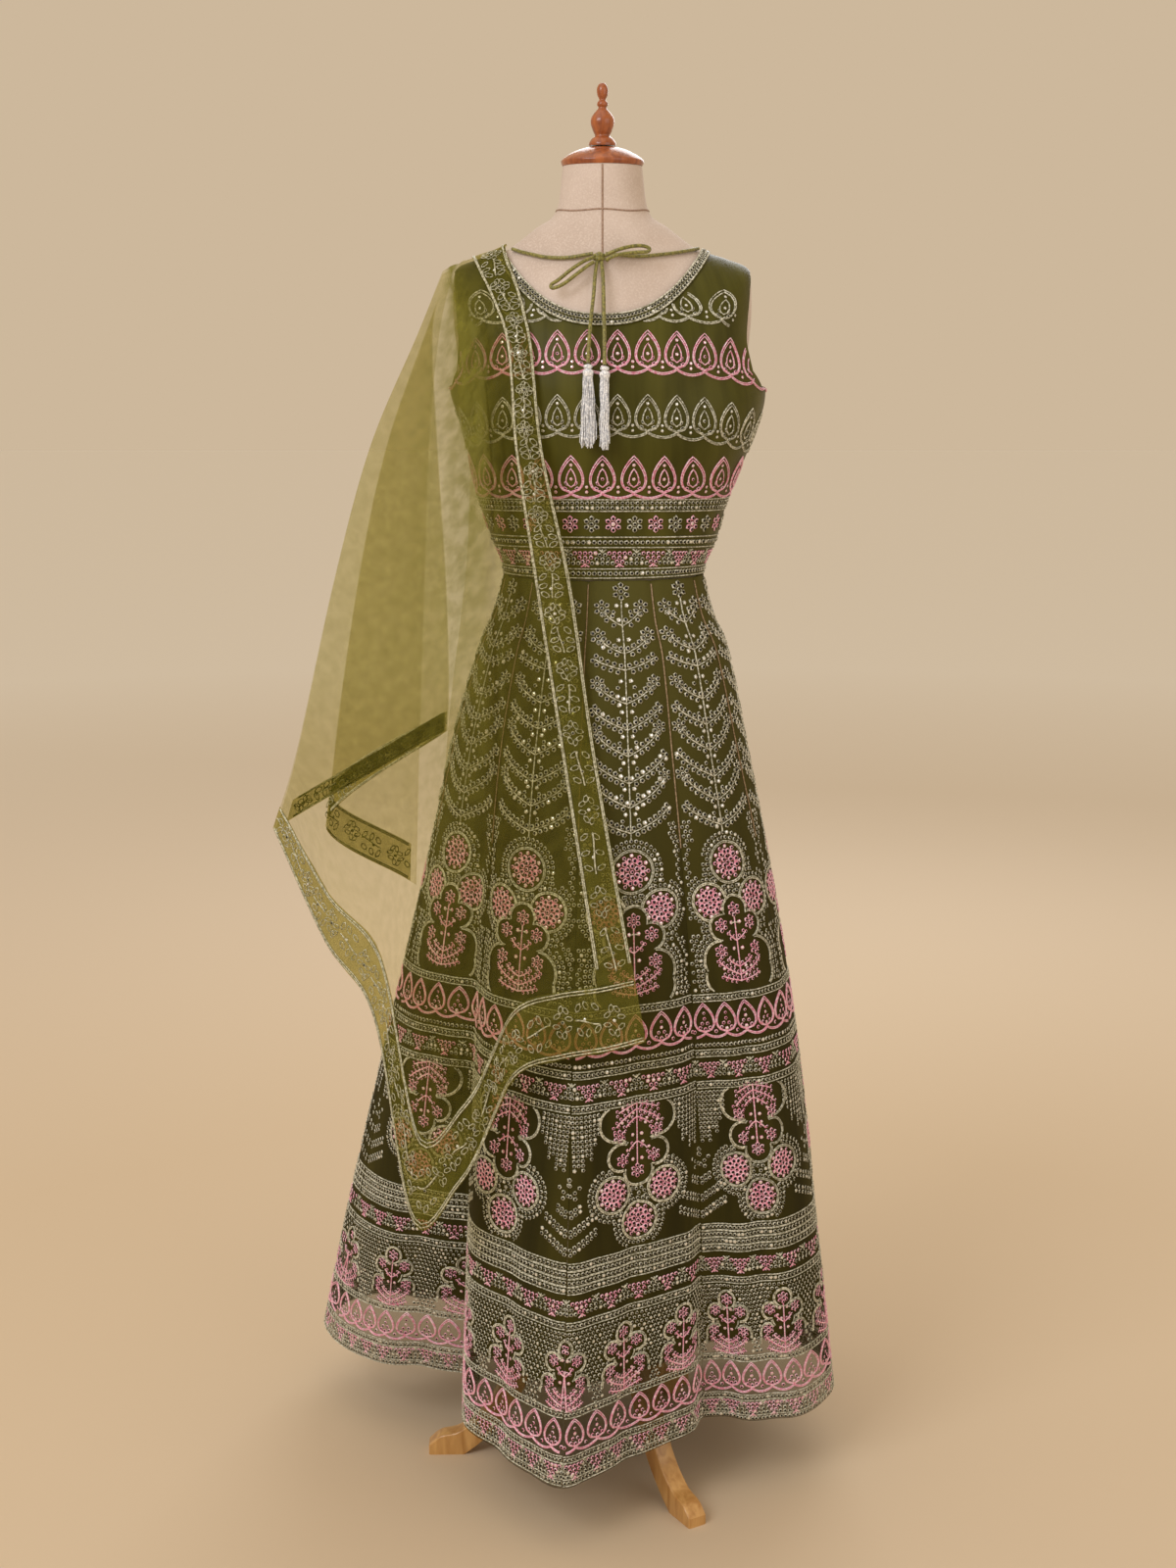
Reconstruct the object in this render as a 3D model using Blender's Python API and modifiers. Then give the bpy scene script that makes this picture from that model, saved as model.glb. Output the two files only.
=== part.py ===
# Sleeveless floor-length dress with a tied back and a sheer net stole, worn by a dress form
# on a wooden tripod. Metres, +Z up. The back of the dress faces -Y, its left side is at -X.
# Every piece is placed round the stand's axis, and at the end the whole part is moved so that
# its box stands centred on the origin.
import math
from collections import namedtuple

import bmesh
import bpy
import numpy as np
from mathutils import Matrix, Vector

# Cloth
SEAM_GAP = 0.0003          # between two pieces that are sewn together
BODICE_WALL = 0.0015
SKIRT_WALL = 0.0012
STOLE_WALL = 0.0010
TRIM_WALL = 0.0010
SEATED_GAP = 0.0008        # between the form and the cloth that rests on its shoulders
BENT_SEAM_GAP = 0.0006     # at a seam that bends, where the walls' corners come nearer
SKIRT_SEAM_GAP = 0.0009    # the same where the hem's waves turn sharply
WAIST_SEAM_GAP = 0.0007    # the skirt leaves the band at an angle, so the walls come nearer
STOLE_BORDER = 0.042       # width of the stole's border
STOLE_OFF_DRESS = 0.0027   # from the bodice's outside to the middle of the stole's wall
NECK_TRIM_ROWS = (3.01, 3.31)  # rows of the torso table that the neck trim covers

# Dress form and stand
TOTAL_HEIGHT = 1.650
POLE_RADIUS = 0.016
HUB_RADIUS = 0.034
HUB_BOTTOM, HUB_TOP = 0.150, 0.262
LEG_ANGLES = (181.0, 301.0, 61.0)
LEG_REACH = 0.2176         # from the axis to the tip of a foot
LEG_THICKNESS = 0.024
CAP_BOTTOM, CAP_TOP = 1.5603, 1.5820

# Skirt
PANELS = 10                # gored panels, each between two seams
FIRST_SEAM_ANGLE = -134.0  # plan angle of seam 0 at the waist
WAVE_GROWTH = 1.6          # how fast the hem's waves grow on the way down
PANEL_COLUMNS = 8

# Cords of the back tie
CORD_RADIUS = 0.0021
CORD_SIDES = 2             # bevel resolution
STRAND_COLUMNS, STRAND_ROWS = 5, 4

# The form from the top down. A section is an ellipse whose sides stand at z_side and whose
# front and back stand at z_mid. Ease is how far the dress stands off it, all round, at the
# left and at the right.
Section = namedtuple("Section", "half_width back front z_mid z_side ease ease_left ease_right")
TORSO = (
    Section(0.0445, 0.0445, 0.0445, 1.5600, 1.5600, 0.0000, 0.000, 0.000),  # 0 neck top
    Section(0.0520, 0.0510, 0.0500, 1.5100, 1.5110, 0.0000, 0.000, 0.000),  # 1 neck seam
    Section(0.0740, 0.0690, 0.0620, 1.4720, 1.4930, 0.0000, 0.000, 0.000),  # 2 collar
    Section(0.1105, 0.0950, 0.0850, 1.3965, 1.4670, 0.0000, 0.000, 0.000),  # 3 neckline
    Section(0.1400, 0.1090, 0.1010, 1.3640, 1.4565, 0.0000, 0.000, 0.000),  # 4 mid shoulder
    Section(0.1640, 0.1165, 0.1120, 1.3380, 1.4450, 0.0003, 0.000, 0.000),  # 5 shoulder tip
    Section(0.1690, 0.1195, 0.1200, 1.3150, 1.4180, 0.0010, 0.000, 0.000),  # 6 arm top
    Section(0.1680, 0.1190, 0.1260, 1.2950, 1.3800, 0.0015, 0.001, 0.002),  # 7 arm middle
    Section(0.1600, 0.1160, 0.1320, 1.2700, 1.3180, 0.0025, 0.010, 0.022),  # 8 underarm
    Section(0.1500, 0.1120, 0.1340, 1.2450, 1.2700, 0.0030, 0.005, 0.020),  # 9 bust
    Section(0.1310, 0.0980, 0.1150, 1.1960, 1.1960, 0.0030, 0.008, 0.010),  # 10 band top
    Section(0.1180, 0.0890, 0.1010, 1.1500, 1.1500, 0.0030, 0.006, 0.010),  # 11 band middle
    Section(0.1080, 0.0830, 0.0890, 1.1040, 1.1040, 0.0030, 0.002, 0.005),  # 12 waist
    Section(0.1290, 0.0990, 0.1010, 1.0200, 1.0200, 0.0030, 0.000, 0.000),  # 13 high hip
    Section(0.1500, 0.1160, 0.1120, 0.9200, 0.9200, 0.0030, 0.000, 0.000),  # 14 hip
    Section(0.1460, 0.1120, 0.1060, 0.8400, 0.8400, 0.0030, 0.000, 0.000),  # 15 form's end
)
SHOULDER_LIFT = 2.5        # how flat the neckline runs across the back
BUST_RISE = 0.014
BUST_ANGLE, BUST_SPREAD = 33.0, 22.0
BUST_HEIGHT, BUST_TALL = 1.268, 0.050

# Half angle of the armhole, seen from the axis, at rows of the torso table
ArmholeRow = namedtuple("ArmholeRow", "row half_angle")
ARMHOLE = (
    ArmholeRow(5.00, 0.0), ArmholeRow(5.15, 8.0), ArmholeRow(5.50, 14.0), ArmholeRow(6.20, 19.0),
    ArmholeRow(7.00, 21.0), ArmholeRow(7.55, 20.0), ArmholeRow(7.88, 13.0), ArmholeRow(8.00, 0.0),
)
BODICE_ROWS = (3.01, 3.31, 3.7, 4.2, 4.6, 5.0, 5.15, 5.5, 6.2, 7.0, 7.55, 7.88, 8.0, 8.5, 9.0, 9.5,
               9.9965)
BAND_ROWS = (10.0035, 10.7, 11.35, 12.0)

# Reach of the skirt's plain ring at each height, to the right, left, back and front
Ring = namedtuple("Ring", "z right left back front")
SKIRT = (
    Ring(1.104, 0.1165, 0.1135, 0.0868, 0.0928),
    Ring(1.060, 0.1275, 0.1255, 0.1050, 0.1080),
    Ring(1.020, 0.1450, 0.1420, 0.1190, 0.1210),
    Ring(0.908, 0.1690, 0.1720, 0.1430, 0.1400),
    Ring(0.772, 0.1960, 0.1960, 0.1700, 0.1660),
    Ring(0.610, 0.2210, 0.2240, 0.1960, 0.1920),
    Ring(0.421, 0.2410, 0.2530, 0.2180, 0.2200),
    Ring(0.258, 0.2520, 0.2760, 0.2320, 0.2420),
    Ring(0.090, 0.2600, 0.2950, 0.2420, 0.2600),
)
SKIRT_ROWS = (0.0, 0.05, 0.10, 0.20, 0.33, 0.46, 0.58, 0.70, 0.81, 0.91, 1.0)

# The hem's plan. A whole seam number is a seam, and the fraction runs across a panel.
HemPoint = namedtuple("HemPoint", "seam x y z")
HEM = (
    HemPoint(0.00, -0.167, -0.035, 0.092), HemPoint(0.25, -0.168, -0.105, 0.090),
    HemPoint(0.45, -0.140, -0.150, 0.088), HemPoint(0.75, -0.092, -0.212, 0.086),
    HemPoint(1.00, -0.046, -0.252, 0.085), HemPoint(1.30, 0.008, -0.212, 0.087),
    HemPoint(1.60, 0.062, -0.168, 0.090), HemPoint(1.85, 0.106, -0.134, 0.092),
    HemPoint(2.00, 0.121, -0.100, 0.094), HemPoint(2.35, 0.180, -0.104, 0.092),
    HemPoint(2.70, 0.245, -0.084, 0.090), HemPoint(3.00, 0.287, -0.012, 0.088),
    HemPoint(3.50, 0.274, 0.085, 0.090), HemPoint(4.00, 0.207, 0.135, 0.094),
    HemPoint(4.50, 0.228, 0.215, 0.090), HemPoint(5.00, 0.190, 0.300, 0.086),
    HemPoint(5.50, 0.108, 0.258, 0.090), HemPoint(6.00, 0.030, 0.215, 0.094),
    HemPoint(6.50, -0.030, 0.275, 0.090), HemPoint(7.00, -0.110, 0.330, 0.086),
    HemPoint(7.50, -0.185, 0.275, 0.090), HemPoint(8.00, -0.235, 0.240, 0.093),
    HemPoint(8.50, -0.310, 0.265, 0.090), HemPoint(8.80, -0.372, 0.205, 0.087),
    HemPoint(9.00, -0.352, 0.130, 0.087), HemPoint(9.35, -0.290, 0.060, 0.089),
    HemPoint(9.70, -0.200, 0.030, 0.091), HemPoint(9.85, -0.157, 0.008, 0.093),
)

# The stole's folds. Each line runs down one fold, from the shoulder to the stole's lower edge.
Fold = namedtuple("Fold", "shoulder chest ribs waist hip end")
STOLE_BACK = (
    Fold((-0.106, 0.0, 1.4708), (-0.0785, -0.104, 1.372), (-0.065, -0.122, 1.25),
         (-0.034, -0.122, 1.10), (-0.005, -0.152, 0.90), (0.048, -0.232, 0.609)),   # border edge
    Fold((-0.147, 0.0, 1.4588), (-0.1055, -0.101, 1.373), (-0.0945, -0.119, 1.25),
         (-0.0735, -0.121, 1.10), (-0.0425, -0.152, 0.90), (0.006, -0.234, 0.598)),  # border's other
    Fold((-0.152, 0.0, 1.4572), (-0.116, -0.092, 1.375), (-0.104, -0.110, 1.25),
         (-0.087, -0.113, 1.10), (-0.068, -0.146, 0.90), (-0.045, -0.222, 0.585)),   # hollow
    Fold((-0.157, 0.0, 1.4570), (-0.124, -0.090, 1.376), (-0.113, -0.112, 1.25),
         (-0.101, -0.124, 1.10), (-0.093, -0.160, 0.90), (-0.092, -0.236, 0.573)),   # second fold
    Fold((-0.162, 0.0, 1.4536), (-0.132, -0.080, 1.377), (-0.120, -0.098, 1.25),
         (-0.115, -0.107, 1.10), (-0.113, -0.140, 0.90), (-0.125, -0.205, 0.500)),   # hollow
    Fold((-0.167, 0.0, 1.4526), (-0.142, -0.078, 1.378), (-0.127, -0.100, 1.25),
         (-0.132, -0.118, 1.10), (-0.133, -0.152, 0.90), (-0.162, -0.216, 0.433)),   # column, right
    Fold((-0.172, 0.0, 1.4506), (-0.156, -0.068, 1.379), (-0.143, -0.095, 1.25),
         (-0.154, -0.112, 1.10), (-0.174, -0.146, 0.90), (-0.2143, -0.200, 0.386)),  # column, left
    Fold((-0.175, 0.0, 1.4486), (-0.176, -0.048, 1.380), (-0.182, -0.068, 1.25),
         (-0.202, -0.078, 1.10), (-0.226, -0.098, 0.90), (-0.262, -0.120, 0.600)),   # hollow
    Fold((-0.178, 0.0, 1.4470), (-0.194, -0.038, 1.380), (-0.224, -0.052, 1.25),
         (-0.258, -0.058, 1.10), (-0.302, -0.064, 0.90), (-0.322, -0.075, 0.680)),   # side net
    Fold((-0.181, 0.0, 1.4450), (-0.2085, -0.026, 1.374), (-0.264, -0.030, 1.25),
         (-0.308, -0.030, 1.10), (-0.356, -0.030, 0.90), (-0.386, -0.030, 0.807)),   # outer fold
)
STOLE_SIDE = (
    Fold((-0.1810, 0.0, 1.4424), (-0.2085, -0.0235, 1.374), (-0.264, -0.027, 1.25),
         (-0.308, -0.026, 1.10), (-0.356, -0.026, 0.90), (-0.384, -0.026, 0.806)),   # outer fold
    Fold((-0.1765, 0.0, 1.4446), (-0.193, 0.000, 1.380), (-0.190, 0.010, 1.25),
         (-0.184, 0.018, 1.10), (-0.184, 0.034, 0.98), (-0.187, 0.046, 0.910)),      # behind column
    Fold((-0.1730, 0.0, 1.4458), (-0.205, 0.026, 1.372), (-0.252, 0.060, 1.25),
         (-0.288, 0.080, 1.11), (-0.322, 0.100, 0.93), (-0.341, 0.100, 0.787)),      # inner fold
    Fold((-0.1695, 0.0, 1.4470), (-0.190, 0.050, 1.376), (-0.207, 0.100, 1.25),
         (-0.216, 0.122, 1.10), (-0.229, 0.150, 0.88), (-0.238, 0.168, 0.690)),      # last fold
)
STOLE_FRONT = (
    Fold((-0.106, 0.0, 1.4708), (-0.098, 0.096, 1.375), (-0.096, 0.152, 1.26),
         (-0.094, 0.150, 1.10), (-0.098, 0.160, 0.90), (-0.100, 0.196, 0.690)),      # border edge
    Fold((-0.128, 0.0, 1.4644), (-0.118, 0.088, 1.375), (-0.118, 0.134, 1.26),
         (-0.120, 0.134, 1.10), (-0.130, 0.150, 0.90), (-0.136, 0.184, 0.680)),      # border's other
    Fold((-0.142, 0.0, 1.4602), (-0.130, 0.082, 1.375), (-0.130, 0.126, 1.26),
         (-0.134, 0.120, 1.10), (-0.148, 0.132, 0.90), (-0.156, 0.164, 0.670)),      # hollow
    Fold((-0.152, 0.0, 1.4572), (-0.142, 0.078, 1.375), (-0.143, 0.122, 1.26),
         (-0.148, 0.130, 1.10), (-0.170, 0.148, 0.90), (-0.186, 0.178, 0.660)),      # middle fold
    Fold((-0.160, 0.0, 1.4545), (-0.153, 0.068, 1.375), (-0.157, 0.108, 1.26),
         (-0.164, 0.108, 1.10), (-0.190, 0.118, 0.90), (-0.208, 0.140, 0.670)),      # outer edge
)
BACK_COLUMNS = (0.0, 0.5, 1.0, 1.5, 2.0, 2.5, 3.0, 3.5, 4.0, 4.5, 5.0, 5.5, 6.0, 6.5, 7.0, 7.5,
                8.0, 8.5, 9.0)
SIDE_ROWS = (0.0, 0.04, 0.09, 0.16, 0.28, 0.44, 0.62, 0.81, 1.0)
LAYER_COLUMNS = (0.1, 0.35, 0.65, 0.9)
SIDE_COLUMNS = (0.0, 0.1, 0.35, 0.65, 0.9, 1.0, 1.1, 1.35, 1.65, 1.9, 2.0, 2.1, 2.35, 2.65, 2.9, 3.0)
FRONT_COLUMNS = (0.0, 0.5, 1.0, 1.5, 2.0, 2.5, 3.0, 3.5, 4.0)
# Rows down the stole: 0 to 1 is plain net, 1 to 2 the border along its lower edge
STOLE_ROWS = (0.0, 0.02, 0.04, 0.065, 0.09, 0.12, 0.16, 0.21, 0.28, 0.37, 0.48, 0.60, 0.73, 0.86,
              1.0)

# Routes of the cords that lie on the form: row of the torso table, angle, lift off the form
CordRow = namedtuple("CordRow", "row angle lift")
TIE_LEFT = (
    CordRow(2.780, 195.0, 0.0029), CordRow(2.68, 203.0, 0.0028), CordRow(2.55, 213.0, 0.0028),
    CordRow(2.42, 226.0, 0.0028), CordRow(2.29, 243.0, 0.0031), CordRow(2.190, 262.8, 0.0058),
)
TIE_RIGHT = (
    CordRow(2.900, 352.0, 0.0029), CordRow(2.74, 341.0, 0.0028), CordRow(2.54, 328.0, 0.0028),
    CordRow(2.38, 314.0, 0.0028), CordRow(2.27, 297.0, 0.0031), CordRow(2.190, 272.6, 0.0058),
)
KNOT_CENTRE = (-0.0033, -0.0812, 1.4575)
KNOT_SIZE = (0.0152, 0.0110, 0.0120)
BOW_LEFT = (
    (-0.0099, -0.0857, 1.4571), (-0.0200, -0.0885, 1.4530), (-0.0340, -0.0900, 1.4440),
    (-0.0480, -0.0905, 1.4330), (-0.0560, -0.0930, 1.4275), (-0.0540, -0.0965, 1.4240),
    (-0.0430, -0.0975, 1.4280), (-0.0280, -0.0960, 1.4390), (-0.0160, -0.0925, 1.4480),
    (-0.0095, -0.0895, 1.4520),
)
BOW_RIGHT = (
    (0.0034, -0.0848, 1.4593), (0.0140, -0.0880, 1.4640), (0.0280, -0.0880, 1.4680),
    (0.0420, -0.0850, 1.4695), (0.0510, -0.0840, 1.4670), (0.0490, -0.0870, 1.4630),
    (0.0360, -0.0910, 1.4620), (0.0200, -0.0930, 1.4600), (0.0095, -0.0925, 1.4570),
    (0.0045, -0.0895, 1.4535),
)
TAIL_LEFT = (
    (-0.0060, -0.0840, 1.4523), (-0.0080, -0.0930, 1.4380), (-0.0095, -0.1000, 1.4180),
    (-0.0115, -0.1075, 1.4000), (-0.0135, -0.1150, 1.3800), (-0.0150, -0.1205, 1.3600),
    (-0.0156, -0.1264, 1.3440),
)
TAIL_RIGHT = (
    (-0.0010, -0.0842, 1.4523), (0.0005, -0.0930, 1.4380), (0.0012, -0.1000, 1.4180),
    (0.0016, -0.1075, 1.4000), (0.0020, -0.1150, 1.3800), (0.0022, -0.1205, 1.3600),
    (0.0024, -0.1270, 1.3420),
)
TASSEL_HEAD_RADIUS = 0.0052
TASSEL_HEAD_HEIGHT = 0.0130
TASSEL_SPREADS = (2.15, 1.10)  # how much wider the strands' ends lie than their roots
TASSEL_LEANS = (0.0060, 0.0085)  # the strands' ends lie this much further out than their roots
TASSEL_LENGTH = 0.0780

parts = bpy.data.collections.new("dress_on_form")
guides = bpy.data.collections.new("guides")


def clear_scene():
    for old in list(bpy.data.objects):
        bpy.data.objects.remove(old, do_unlink=True)
    bpy.context.scene.collection.children.link(parts)
    bpy.context.scene.collection.children.link(guides)


def material(name, colour, roughness, metallic=0.0):
    made = bpy.data.materials.new(name)
    made.use_nodes = True
    shader = made.node_tree.nodes["Principled BSDF"]
    shader.inputs["Base Color"].default_value = (*colour, 1.0)
    shader.inputs["Roughness"].default_value = roughness
    shader.inputs["Metallic"].default_value = metallic
    return made


def add_part(name, data, finish):
    part = bpy.data.objects.new(name, data)
    part.data.materials.append(finish)
    parts.objects.link(part)
    return part


# A smooth curve through the rows of a table, read at a row number with a fraction
def read_rows(table, row):
    rows = np.asarray(table, dtype=float)
    last = len(rows) - 1
    row = min(max(row, 0.0), float(last))
    start = min(int(row), last - 1)
    step = row - start
    before, after = rows[max(start - 1, 0)], rows[min(start + 2, last)]
    first, second = rows[start], rows[start + 1]
    slope_first = (second - before) / (2.0 if start > 0 else 1.0)
    slope_second = (after - first) / (2.0 if start + 2 <= last else 1.0)
    return ((2 * step**3 - 3 * step**2 + 1) * first + (step**3 - 2 * step**2 + step) * slope_first
            + (3 * step**2 - 2 * step**3) * second + (step**3 - step**2) * slope_second)


# A smooth curve through points that stand at uneven places along it
def read_places(places, values, place):
    last = len(places) - 1
    start = min(max(int(np.searchsorted(places, place, side="right")) - 1, 0), last - 1)
    width = places[start + 1] - places[start]
    step = (place - places[start]) / width

    def slope(i):
        low, high = max(i - 1, 0), min(i + 1, last)
        return (values[high] - values[low]) / (places[high] - places[low]) * width

    return ((2 * step**3 - 3 * step**2 + 1) * values[start]
            + (step**3 - 2 * step**2 + step) * slope(start)
            + (3 * step**2 - 2 * step**3) * values[start + 1]
            + (step**3 - step**2) * slope(start + 1))


def torso_point(row, angle):
    half_width, back, front, z_mid, z_side = read_rows(TORSO, row)[:5]
    across, deep = math.cos(math.radians(angle)), math.sin(math.radians(angle))
    z = z_mid + (z_side - z_mid) * abs(across) ** SHOULDER_LIFT
    y = deep * (back if deep < 0 else front)
    if deep > 0:
        for side in (90.0 - BUST_ANGLE, 90.0 + BUST_ANGLE):
            near = math.exp(-((angle % 360.0 - side) / BUST_SPREAD) ** 2)
            y += BUST_RISE * near * math.exp(-((z - BUST_HEIGHT) / BUST_TALL) ** 2)
    return Vector((half_width * across, y, z))


def torso_normal(row, angle):
    down = torso_point(row + 0.02, angle) - torso_point(row - 0.02, angle)
    around = torso_point(row, angle + 0.5) - torso_point(row, angle - 0.5)
    return down.cross(around).normalized()


# The middle of the bodice's wall
def bodice_point(row, angle, lift=0.0):
    ease, ease_left, ease_right = read_rows(TORSO, row)[5:]
    across = math.cos(math.radians(angle))
    ease += (ease_right if across > 0 else ease_left) * across**2
    off = SEATED_GAP + BODICE_WALL / 2 + ease + lift
    return torso_point(row, angle) + torso_normal(row, angle) * off


def armhole_angle(row):
    rows = [entry.row for entry in ARMHOLE]
    return float(np.interp(row, rows, [entry.half_angle for entry in ARMHOLE]))


# The bodice's back runs from 180 to 360 degrees and its front from 0 to 180
def bodice_angle(row, across, first):
    seam = math.degrees(BENT_SEAM_GAP / 2 / 0.10)
    edge = max(armhole_angle(row), seam) if row <= 8.0 else seam
    return first + edge + across * (180.0 - 2 * edge)


HEM_LOOP = HEM[-3:] + HEM + HEM[:3]
HEM_SEAMS = np.array([p.seam for p in HEM[-3:]] + [p.seam + PANELS for p in HEM]
                     + [p.seam + 2 * PANELS for p in HEM[:3]])
HEM_VALUES = np.array([[p.x, p.y, p.z] for p in HEM_LOOP])
RING_HEIGHTS = np.array([-ring.z for ring in SKIRT])
RING_VALUES = np.array([ring[1:] for ring in SKIRT])


def ring_point(angle, z):
    right, left, back, front = read_places(RING_HEIGHTS, RING_VALUES, -z)
    across, deep = math.cos(math.radians(angle)), math.sin(math.radians(angle))
    x = across * (right if across > 0 else left)
    y = deep * (back if deep < 0 else front)
    return np.array([x, y])


# The middle of the skirt's wall: seam number across, and down from 0 at the waist to 1
def skirt_point(seam, down):
    hem = read_places(HEM_SEAMS, HEM_VALUES, seam % PANELS + PANELS)
    top = TORSO[12].z_mid - WAIST_SEAM_GAP
    z = top + (hem[2] - top) * down
    angle = FIRST_SEAM_ANGLE + 360.0 / PANELS * seam
    wave = (hem[:2] - ring_point(angle, SKIRT[-1].z)) * down**WAVE_GROWTH
    x, y = ring_point(angle, z) + wave
    return Vector((x, y, z))


def fold_lengths(lines):
    lengths = []
    for line in lines:
        points = [Vector(point) for point in line]
        lengths.append(sum((b - a).length for a, b in zip(points, points[1:])))
    return lengths


# A point of the stole: line number across, and down from 0 at the shoulder to 1 at its edge
def stole_point(lines, across, down):
    stations = [read_rows(line, down * (len(line) - 1)) for line in lines]
    return Vector(read_rows(stations, across))


def stole_normal(lines, across, down):
    last = len(lines) - 1
    left, right = max(across - 0.05, 0.0), min(across + 0.05, last)
    high, low = max(down - 0.01, 0.0), min(down + 0.01, 1.0)
    along = stole_point(lines, across, low) - stole_point(lines, across, high)
    around = stole_point(lines, right, down) - stole_point(lines, left, down)
    return around.cross(along).normalized()


# A cloth piece: a grid of points read from a surface, given its wall by Solidify
def cloth(name, point, columns, rows, wall, finish, flipped=False):
    mesh = bpy.data.meshes.new(name)
    shape = bmesh.new()
    grid = [[shape.verts.new(point(column, row)) for column in columns] for row in rows]
    for upper, lower in zip(grid, grid[1:]):
        for i in range(len(columns) - 1):
            corners = [upper[i], lower[i], lower[i + 1], upper[i + 1]]
            shape.faces.new(corners[::-1] if flipped else corners)
    shape.to_mesh(mesh)
    shape.free()
    mesh.shade_smooth()
    piece = add_part(name, mesh, finish)
    solid = piece.modifiers.new("wall", "SOLIDIFY")
    solid.thickness = wall
    solid.offset = 0.0
    return piece


def even(count, first=0.0, last=1.0):
    return [first + (last - first) * i / count for i in range(count + 1)]


def make_form(linen, turned_wood):
    rows = [0.0, 1.0, 1.5, 2.0, 2.5, 3.01, 3.31, 3.7, 4.2, 4.6, 5.0, 5.5, 6.2, 7.0, 8.0, 9.0, 10.0,
            12.0, 13.0, 14.0, 15.0]
    sides = 36
    mesh = bpy.data.meshes.new("form_torso")
    shape = bmesh.new()
    loops = [[shape.verts.new(torso_point(row, 360.0 * i / sides)) for i in range(sides)]
             for row in rows]
    for upper, lower in zip(loops, loops[1:]):
        for i in range(sides):
            nxt = (i + 1) % sides
            shape.faces.new([upper[i], lower[i], lower[nxt], upper[nxt]])
    shape.faces.new(loops[0])
    shape.faces.new(loops[-1][::-1])
    shape.to_mesh(mesh)
    shape.free()
    mesh.shade_smooth()
    mesh.set_sharp_from_angle(angle=math.radians(50))
    add_part("form_torso", mesh, linen)

    cap = [(0.0, CAP_TOP), (0.012, CAP_TOP - 0.0006), (0.026, CAP_TOP - 0.0040),
           (0.038, CAP_TOP - 0.0095), (0.0455, CAP_TOP - 0.0150), (0.0465, CAP_TOP - 0.0180),
           (0.0450, CAP_BOTTOM), (0.0, CAP_BOTTOM)]
    turned("neck_cap", cap, 24, turned_wood)
    foot = CAP_TOP + SEAM_GAP
    finial = [(0.0, TOTAL_HEIGHT), (0.0035, TOTAL_HEIGHT - 0.001), (0.0062, TOTAL_HEIGHT - 0.006),
              (0.0058, TOTAL_HEIGHT - 0.013), (0.0036, TOTAL_HEIGHT - 0.018),
              (0.0058, TOTAL_HEIGHT - 0.021), (0.0060, TOTAL_HEIGHT - 0.024),
              (0.0046, TOTAL_HEIGHT - 0.027), (0.0090, TOTAL_HEIGHT - 0.032),
              (0.0128, TOTAL_HEIGHT - 0.038), (0.0132, TOTAL_HEIGHT - 0.044),
              (0.0105, TOTAL_HEIGHT - 0.052), (0.0085, TOTAL_HEIGHT - 0.057),
              (0.0120, TOTAL_HEIGHT - 0.060), (0.0150, foot + 0.003), (0.0152, foot), (0.0, foot)]
    turned("finial", finial, 14, turned_wood)


# A turned piece: its profile runs from the top, down its outer side, to the bottom
def turned(name, profile, sides, finish):
    mesh = bpy.data.meshes.new(name)
    mesh.from_pydata([(radius, 0.0, z) for radius, z in profile],
                     [(i, i + 1) for i in range(len(profile) - 1)], [])
    piece = add_part(name, mesh, finish)
    screw = piece.modifiers.new("turn", "SCREW")
    screw.steps = screw.render_steps = sides
    screw.use_merge_vertices = True
    screw.merge_threshold = 0.00001
    screw.use_smooth_shade = True
    return piece


def make_stand(wood):
    pole_bottom, pole_top = HUB_TOP + SEAM_GAP, TORSO[-1].z_mid - SEAM_GAP
    turned("pole", [(0.0, pole_top), (POLE_RADIUS, pole_top), (POLE_RADIUS, pole_bottom),
                    (0.0, pole_bottom)], 20, wood)
    turned("hub", [(0.0, HUB_TOP), (0.022, HUB_TOP), (HUB_RADIUS, HUB_TOP - 0.016),
                   (HUB_RADIUS, HUB_BOTTOM + 0.010), (0.020, HUB_BOTTOM), (0.0, HUB_BOTTOM)],
           24, wood)
    start = HUB_RADIUS + SEAM_GAP
    # upper side from the hub to the foot, then the flat foot, then the under side back
    side = [(start, 0.250), (0.056, 0.236), (0.082, 0.200), (0.103, 0.150), (0.124, 0.100),
            (0.148, 0.058), (0.178, 0.031), (0.203, 0.024), (LEG_REACH, 0.012), (LEG_REACH, 0.0),
            (0.172, 0.0), (0.150, 0.018), (0.122, 0.048), (0.098, 0.088), (0.076, 0.134),
            (0.056, 0.164), (start, 0.176)]
    for number, angle in enumerate(LEG_ANGLES, start=1):
        mesh = bpy.data.meshes.new(f"leg_{number}")
        shape = bmesh.new()
        outline = [shape.verts.new((reach, LEG_THICKNESS / 2, z)) for reach, z in side]
        face = shape.faces.new(outline)
        pulled = bmesh.ops.extrude_face_region(shape, geom=[face])["geom"]
        moved = [item for item in pulled if isinstance(item, bmesh.types.BMVert)]
        bmesh.ops.translate(shape, verts=moved, vec=(0.0, -LEG_THICKNESS, 0.0))
        bmesh.ops.recalc_face_normals(shape, faces=shape.faces)
        shape.to_mesh(mesh)
        shape.free()
        leg = add_part(f"leg_{number}", mesh, wood)
        leg.rotation_euler.z = math.radians(angle)


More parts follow.
